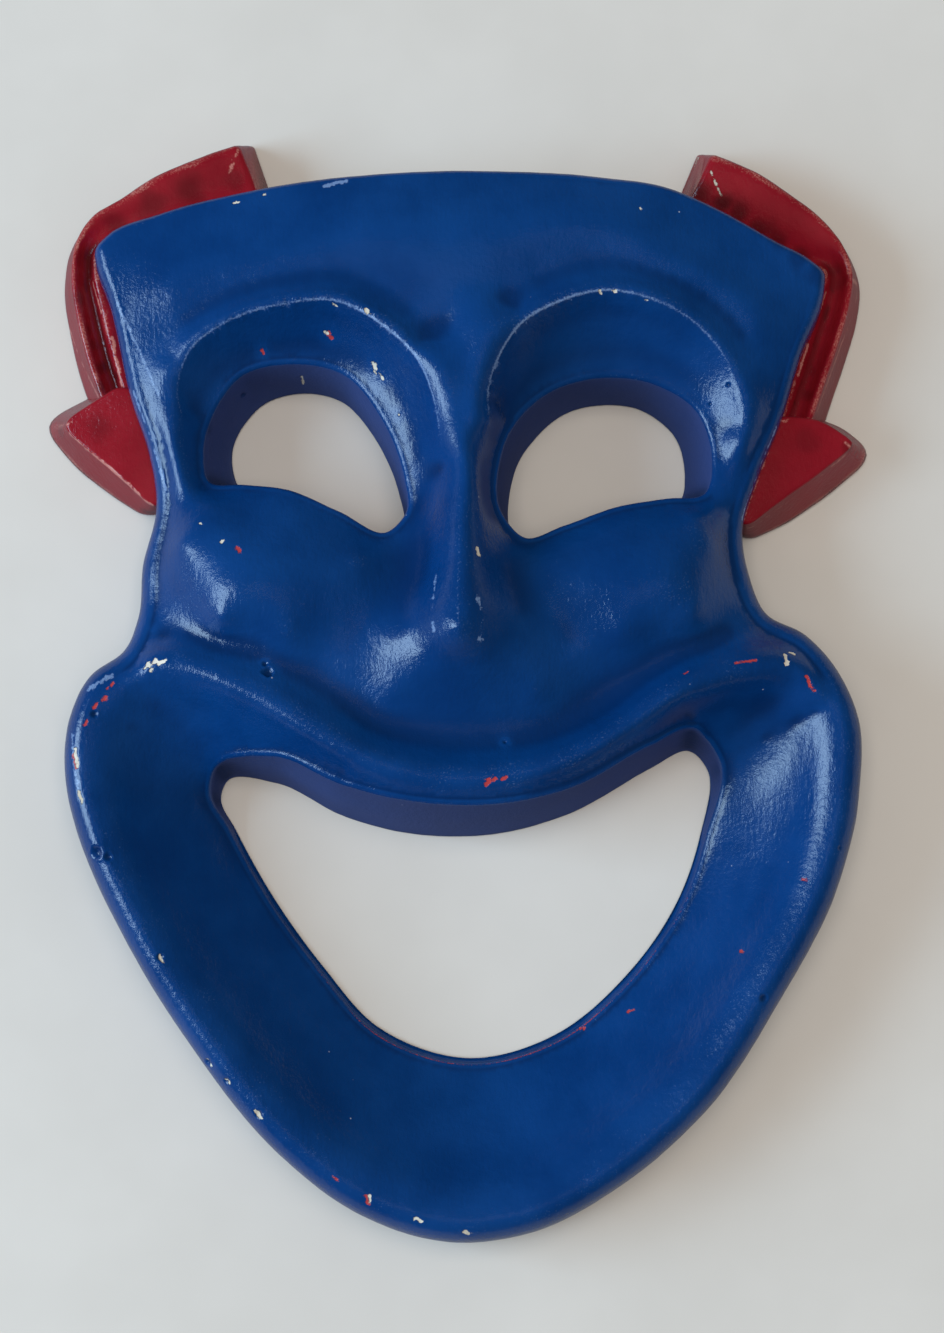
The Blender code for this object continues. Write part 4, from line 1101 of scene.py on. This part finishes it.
def weathered(piece, eye, shift, worn_and_painted_highlight, flaking, strength):
    """Works the marks, the unevenness and the paint's masks into a piece."""
    mesh = piece.data
    is_face = piece.name == "face"
    tree = BVHTree.FromPolygons([v.co for v in mesh.vertices], [p.vertices for p in mesh.polygons])
    own = {
        name: [mark for mark in marks if seen_at(mark[:2], tree, eye) is not None]
        for name, marks in (("chips", CHIPS), ("coats", OLD_COATS), ("pits", PITS), ("strokes", STROKES))
    }
    if len(worn_and_painted_highlight):
        crests = worn_and_painted_highlight[worn_and_painted_highlight[:, 3] > CREST_LEAST_WEAR][::CREST_SKIP]
        refined(mesh, [(Vector(row[:3]), CREST_FINE) for row in crests], CREST_CUTS)
    refined(mesh, mark_centres(sum(own.values(), []), tree, eye), MARK_CUTS)
    points, normals, edges = mesh_arrays(mesh)
    on_back = (normals[:, 2] < BACK_TURN) & (points[:, 2] < BACK_LEVEL)
    proud = relaxed_height(points, normals, edges, CREST_ROUNDS if is_face else RIM_ROUNDS)
    chips = marked(points, own["chips"], tree, eye)
    coats = marked(points, own["coats"], tree, eye)
    # Painted shade: darker where the surface lies low, in creases and hollows
    soil_and_painted_shade = ramp(-proud, *CREASE_PAINTED_SHADE)

    crest = np.minimum(along_lines(points, worn_and_painted_highlight, CREST_WIDTH) * CREST_FULLNESS, 1.0)
    moved = bumps(points, LUMPS) + CREST_RISE * crest
    moved -= CHIP_DEPTH * ramp(chips, *MARK_SIDE)
    moved -= COAT_DEPTH * ramp(coats, *MARK_SIDE)
    sink_pits(own["pits"], moved, soil_and_painted_shade, points, tree, eye)
    moved[on_back] = -np.abs(bumps(points[on_back], BACK_HOLLOWS))
    points = points + moved[:, None] * normals
    mesh.vertices.foreach_set("co", points.ravel())

    # Dirt, and painted shade in the ribbons' grooves and in the folds, darkens these spots
    spread_dirt_and_painted_shade(soil_and_painted_shade, points, tree, eye)
    bare = 0.5 + chips / MARK_FEATHER
    if is_face:
        bare[on_back] = bare_back(points[on_back], shift)
    old_coat = np.maximum(0.5 + coats / MARK_FEATHER, along_lines(points, flaking, WORN_WIDTH))
    store(mesh, "matt_and_painted_sheen", matt_walls(points, normals, on_back, is_face))
    store(mesh, "bare", bare)
    store(mesh, "old_coat", old_coat)
    store(mesh, "wear_and_painted_highlight", edge_wear_and_painted_highlight(points, proud, worn_and_painted_highlight, own["strokes"], strength, tree, eye))
    store(mesh, "soil_and_painted_shade", soil_and_painted_shade)


# Materials


def node(tree, kind, inputs=None, **settings):
    """A node with its settings, and its inputs set or linked."""
    made = tree.nodes.new(kind)
    for key, value in settings.items():
        setattr(made, key, value)
    for key, value in (inputs or {}).items():
        if isinstance(value, bpy.types.NodeSocket):
            tree.links.new(value, made.inputs[key])
        else:
            made.inputs[key].default_value = value
    return made


def maths(tree, operation, first, second, clamp=False):
    """One number worked out from two."""
    made = node(tree, "ShaderNodeMath", {0: first, 1: second}, operation=operation, use_clamp=clamp)
    return made.outputs[0]


def mixed(tree, factor, first, second):
    """A mix of two colours."""
    return node(tree, "ShaderNodeMix", {0: factor, 6: first, 7: second}, data_type="RGBA").outputs[2]


def spotted(tree, place, scale, detail, roughness):
    """A number that varies in cloudy spots."""
    inputs = {"Vector": place, "Scale": scale, "Detail": detail, "Roughness": roughness}
    return node(tree, "ShaderNodeTexNoise", inputs).outputs[0]


def ranged(tree, value, low, high, out_low=0.0, out_high=1.0):
    """A number brought smoothly from one range to another."""
    inputs = {0: value, 1: low, 2: high, 3: out_low, 4: out_high}
    return node(tree, "ShaderNodeMapRange", inputs, interpolation_type="SMOOTHSTEP").outputs[0]


def new_group(name, inputs, outputs):
    """A shader group with named sockets, its input node and its output node."""
    group = bpy.data.node_groups.new(name, "ShaderNodeTree")
    for label, kind in inputs:
        group.interface.new_socket(label, in_out="INPUT", socket_type=kind)
    for label, kind in outputs:
        group.interface.new_socket(label, in_out="OUTPUT", socket_type=kind)
    return group, group.nodes.new("NodeGroupInput"), group.nodes.new("NodeGroupOutput")


FLOAT, COLOUR, VECTOR = "NodeSocketFloat", "NodeSocketColor", "NodeSocketVector"


def brushed_enamel():
    """Brush streaks, orange peel and mottling of hand-brushed enamel."""
    group, given, result = new_group(
        "brushed enamel", [("Place", VECTOR)], [("Relief", FLOAT), ("Mottle", FLOAT), ("Speck", FLOAT)]
    )
    place = given.outputs["Place"]
    drawn_out = {"Vector": place, "Rotation": BRUSH_TURN, "Scale": BRUSH_STRETCH}
    brushed = node(group, "ShaderNodeMapping", drawn_out).outputs[0]
    streaks = spotted(group, brushed, scale=1300, detail=3.0, roughness=0.6)
    peel = spotted(group, place, scale=900, detail=2.0, roughness=0.5)
    grit = spotted(group, place, scale=3400, detail=1.0, roughness=0.5)
    relief = maths(group, "MULTIPLY", streaks, 0.35)
    for layer, share in ((peel, 0.45), (grit, 0.2)):
        relief = maths(group, "ADD", relief, maths(group, "MULTIPLY", layer, share))
    clouds = spotted(group, place, scale=42, detail=4.0, roughness=0.6)
    cells = node(group, "ShaderNodeTexVoronoi", {"Vector": place, "Scale": 190.0}, feature="F1")
    dot = ranged(group, cells.outputs["Distance"], low=0.045, high=0.015)
    draw = node(group, "ShaderNodeSeparateColor", {0: cells.outputs["Color"]}).outputs[0]
    chosen = ranged(group, draw, low=0.86, high=0.88)
    group.links.new(relief, result.inputs["Relief"])
    group.links.new(ranged(group, clouds, low=0.25, high=0.75), result.inputs["Mottle"])
    group.links.new(maths(group, "MULTIPLY", dot, chosen), result.inputs["Speck"])
    return group


def flaked():
    """A mask with a ragged, crisp edge from a smooth field."""
    labels = [("Field", FLOAT), ("Place", VECTOR), ("Raggedness", FLOAT), ("Softness", FLOAT)]
    group, given, result = new_group("flaked edge", labels, [("Mask", FLOAT)])
    given = given.outputs
    grain = spotted(group, given["Place"], scale=2600, detail=3.0, roughness=0.6)
    rag = maths(group, "MULTIPLY", maths(group, "SUBTRACT", grain, 0.5), given["Raggedness"])
    field = maths(group, "ADD", given["Field"], rag)
    low = maths(group, "SUBTRACT", 0.5, given["Softness"])
    high = maths(group, "ADD", 0.5, given["Softness"])
    group.links.new(ranged(group, field, low, high), result.inputs["Mask"])
    return group


def cast_plaster():
    """Colour and relief of bare cast plaster."""
    group, given, result = new_group(
        "cast plaster", [("Place", VECTOR)], [("Colour", COLOUR), ("Relief", FLOAT)]
    )
    place = given.outputs["Place"]
    clouds = spotted(group, place, scale=90, detail=5.0, roughness=0.6)
    colour = mixed(group, ranged(group, clouds, low=0.3, high=0.7), PLASTER_DARK, PLASTER_PALE)
    bubbles = node(group, "ShaderNodeTexVoronoi", {"Vector": place, "Scale": 320.0}, feature="F1")
    sound = ranged(group, bubbles.outputs["Distance"], low=0.10, high=0.18)
    colour = mixed(group, maths(group, "SUBTRACT", 1.0, sound), colour, PLASTER_HOLE)
    grain = spotted(group, place, scale=700, detail=4.0, roughness=0.6)
    relief = maths(group, "ADD", maths(group, "MULTIPLY", grain, 0.5), sound)
    group.links.new(colour, result.inputs["Colour"])
    group.links.new(relief, result.inputs["Relief"])
    return group


def use(tree, group, inputs):
    """The outputs of a shader group placed in a material."""
    return node(tree, "ShaderNodeGroup", inputs, node_tree=group).outputs


def enamel(name, groups, paint, thick, thin_paint_and_painted_sheen, worn_and_painted_highlight, coat, grime_and_painted_shade):
    """Gloss enamel brushed over an old coat and plaster, with chips, worn crests that are partly a painted
    highlight, steep walls paled partly by a painted sheen, and grime that is partly painted shade.
    """
    material = bpy.data.materials.new(name)
    material.use_nodes = True
    tree = material.node_tree
    shader = tree.nodes["Principled BSDF"]
    place = node(tree, "ShaderNodeTexCoord").outputs["Object"]
    brush = use(tree, groups["brush"], {"Place": place})
    plaster = use(tree, groups["plaster"], {"Place": place})

    def field(label):
        stored = node(tree, "ShaderNodeAttribute", attribute_type="GEOMETRY", attribute_name=label)
        return stored.outputs["Fac"]

    def mask(label, raggedness, softness):
        inputs = {"Field": field(label), "Place": place, "Raggedness": raggedness, "Softness": softness}
        return use(tree, groups["flaked"], inputs)["Mask"]

    matt_and_painted_sheen, soil_and_painted_shade = field("matt_and_painted_sheen"), field("soil_and_painted_shade")
    bare, old_coat, wear_and_painted_highlight = mask("bare", *BARE_EDGE), mask("old_coat", *COAT_EDGE), mask("wear_and_painted_highlight", *WORN_EDGE)

    colour = mixed(tree, brush["Mottle"], thick, paint)
    # The thin paint on steep walls is paled partly as a painted sheen, the grime is partly painted shade and
    # the wear is partly a painted highlight
    for cover, tint, over in (
        (matt_and_painted_sheen, THIN_PAINT_AND_PAINTED_SHEEN_TINT, thin_paint_and_painted_sheen),
        (soil_and_painted_shade, SOIL_AND_PAINTED_SHADE_TINT, grime_and_painted_shade),
        (wear_and_painted_highlight, WORN_AND_PAINTED_HIGHLIGHT_TINT, worn_and_painted_highlight),
        (brush["Speck"], SPECK_TINT, SPECK),
    ):
        colour = mixed(tree, maths(tree, "MULTIPLY", cover, tint), colour, over)
    colour = mixed(tree, old_coat, colour, coat)
    colour = mixed(tree, bare, colour, plaster["Colour"])
    tree.links.new(colour, shader.inputs["Base Color"])

    rough = ranged(tree, brush["Mottle"], 0.0, 1.0, *PAINT_ROUGHNESS)
    for cover, rougher in ((wear_and_painted_highlight, WORN_ROUGHER), (matt_and_painted_sheen, MATT_ROUGHER), (bare, BARE_ROUGHER)):
        rough = maths(tree, "ADD", rough, maths(tree, "MULTIPLY", cover, rougher), clamp=True)
    tree.links.new(rough, shader.inputs["Roughness"])
    shader.inputs["Specular IOR Level"].default_value = PAINT_GLOSS
    shader.inputs["Coat Roughness"].default_value = VARNISH_ROUGHNESS
    dull = maths(tree, "MAXIMUM", bare, matt_and_painted_sheen)
    tree.links.new(ranged(tree, dull, 0.0, 1.0, VARNISH, 0.0), shader.inputs["Coat Weight"])

    relief = maths(tree, "MULTIPLY", brush["Relief"], maths(tree, "SUBTRACT", 1.0, bare))
    grain = maths(tree, "MULTIPLY", plaster["Relief"], maths(tree, "MULTIPLY", bare, PLASTER_GRAIN))
    relief = maths(tree, "ADD", relief, grain)
    for cover, drop in ((bare, BARE_DROP), (old_coat, COAT_DROP)):
        relief = maths(tree, "SUBTRACT", relief, maths(tree, "MULTIPLY", cover, drop))
    bump = node(
        tree, "ShaderNodeBump", {"Height": relief, "Strength": RELIEF_STRENGTH, "Distance": RELIEF_HEIGHT}
    )
    tree.links.new(bump.outputs[0], shader.inputs["Normal"])
    return material


def pale_floor():
    """A plain pale floor with faint clouds."""
    material = bpy.data.materials.new("pale floor")
    material.use_nodes = True
    tree = material.node_tree
    shader = tree.nodes["Principled BSDF"]
    place = node(tree, "ShaderNodeTexCoord").outputs["Object"]
    clouds = spotted(tree, place, scale=14, detail=4.0, roughness=0.6)
    pale = mixed(tree, ranged(tree, clouds, low=0.3, high=0.7), FLOOR_DARK, FLOOR_PALE)
    in_gloss = node(tree, "ShaderNodeLightPath").outputs["Is Glossy Ray"]
    tree.links.new(mixed(tree, in_gloss, pale, FLOOR_IN_GLOSS), shader.inputs["Base Color"])
    shader.inputs["Roughness"].default_value = FLOOR_ROUGHNESS
    return material


# The studio and the mask


def area_light(name, place, size, watts, colour):
    """A soft light that faces the mask."""
    data = bpy.data.lights.new(name, "AREA")
    data.shape = "RECTANGLE"
    data.size, data.size_y = size
    data.energy = watts
    data.color = colour
    light = bpy.data.objects.new(name, data)
    light.location = place
    light.rotation_euler = (Vector(LIT_POINT) - Vector(place)).to_track_quat("-Z", "Y").to_euler()
    bpy.context.scene.collection.objects.link(light)
    return light


def studio():
    """The floor, the sky and the two lights."""
    bpy.ops.mesh.primitive_plane_add(size=FLOOR_SIZE, location=(0, 0, -FLOOR_DROP))
    floor = bpy.context.object
    floor.name = "floor"
    floor.data.materials.append(pale_floor())
    world = bpy.data.worlds.new("studio")
    world.use_nodes = True
    tree = world.node_tree
    in_gloss = node(tree, "ShaderNodeLightPath").outputs["Is Glossy Ray"]
    background = tree.nodes["Background"]
    tree.links.new(mixed(tree, in_gloss, SKY, SKY_IN_GLOSS), background.inputs["Color"])
    background.inputs["Strength"].default_value = SKY_STRENGTH
    bpy.context.scene.world = world
    bpy.context.scene.view_settings.view_transform = "Standard"
    area_light("window", *WINDOW)
    overhead = area_light("overhead", *OVERHEAD)
    overhead.visible_glossy = False


def mask_shapes():
    """Vertices and faces of the face and of both ribbons."""
    left = ribbon_band(RIBBON_LEFT, -1, SECTION_LEFT, BEND_LEFT)
    right = ribbon_band(RIBBON_RIGHT, 1, SECTION_RIGHT, BEND_RIGHT)
    return {
        "face": face_surface(),
        "ribbon_left": joined_up(left, ribbon_tail(TAIL_LEFT)),
        "ribbon_right": joined_up(right, ribbon_tail(TAIL_RIGHT)),
    }


def main():
    """The mask, its camera and its studio."""
    low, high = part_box("mask")
    shapes = mask_shapes()
    everything = np.vstack([vertices for vertices, _ in shapes.values()])
    own_middle = (everything.min(axis=0) + everything.max(axis=0)) / 2
    shift = np.array([(low.x + high.x) / 2 - own_middle[0], (low.y + high.y) / 2 - own_middle[1], 0.0])
    eye = place_camera(Vector(shift)).location.copy()

    groups = {"brush": brushed_enamel(), "flaked": flaked(), "plaster": cast_plaster()}
    blue = enamel("blue gloss enamel", groups, **BLUE)
    red = enamel("red gloss enamel", groups, **RED)
    # The pale lines on the brows and the nose are wear, and partly a painted highlight
    crests = ((BROW_LEFT, BROW_LEFT_WEAR_AND_PAINTED_HIGHLIGHT), (BROW_RIGHT, BROW_RIGHT_WEAR_AND_PAINTED_HIGHLIGHT), (NOSE_RIDGE, NOSE_WEAR_AND_PAINTED_HIGHLIGHT))
    worn_and_painted_highlight = np.vstack([worn_line(carved(line, LINE_FINE), wear_and_painted_highlight) for line, wear_and_painted_highlight in crests])
    mouth = hole_rings(MOUTH, LINE_FINE, 1, [0, 45, 90])[0][-2]
    flaking = worn_line(mouth, MOUTH_FLAKING)
    for line in (worn_and_painted_highlight, flaking):
        line[:, :3] += shift
    no_line = np.empty((0, 4))
    for name, (vertices, faces) in shapes.items():
        if name == "face":
            piece = new_piece(name, vertices + shift, faces, blue)
            weathered(piece, eye, shift, worn_and_painted_highlight, flaking, FACE_EDGE_WEAR)
        else:
            piece = new_piece(name, vertices + shift, faces, red)
            weathered(piece, eye, shift, no_line, no_line, RIBBON_EDGE_WEAR)
        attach(piece, "root")
        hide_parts("mask")
    studio()


main()
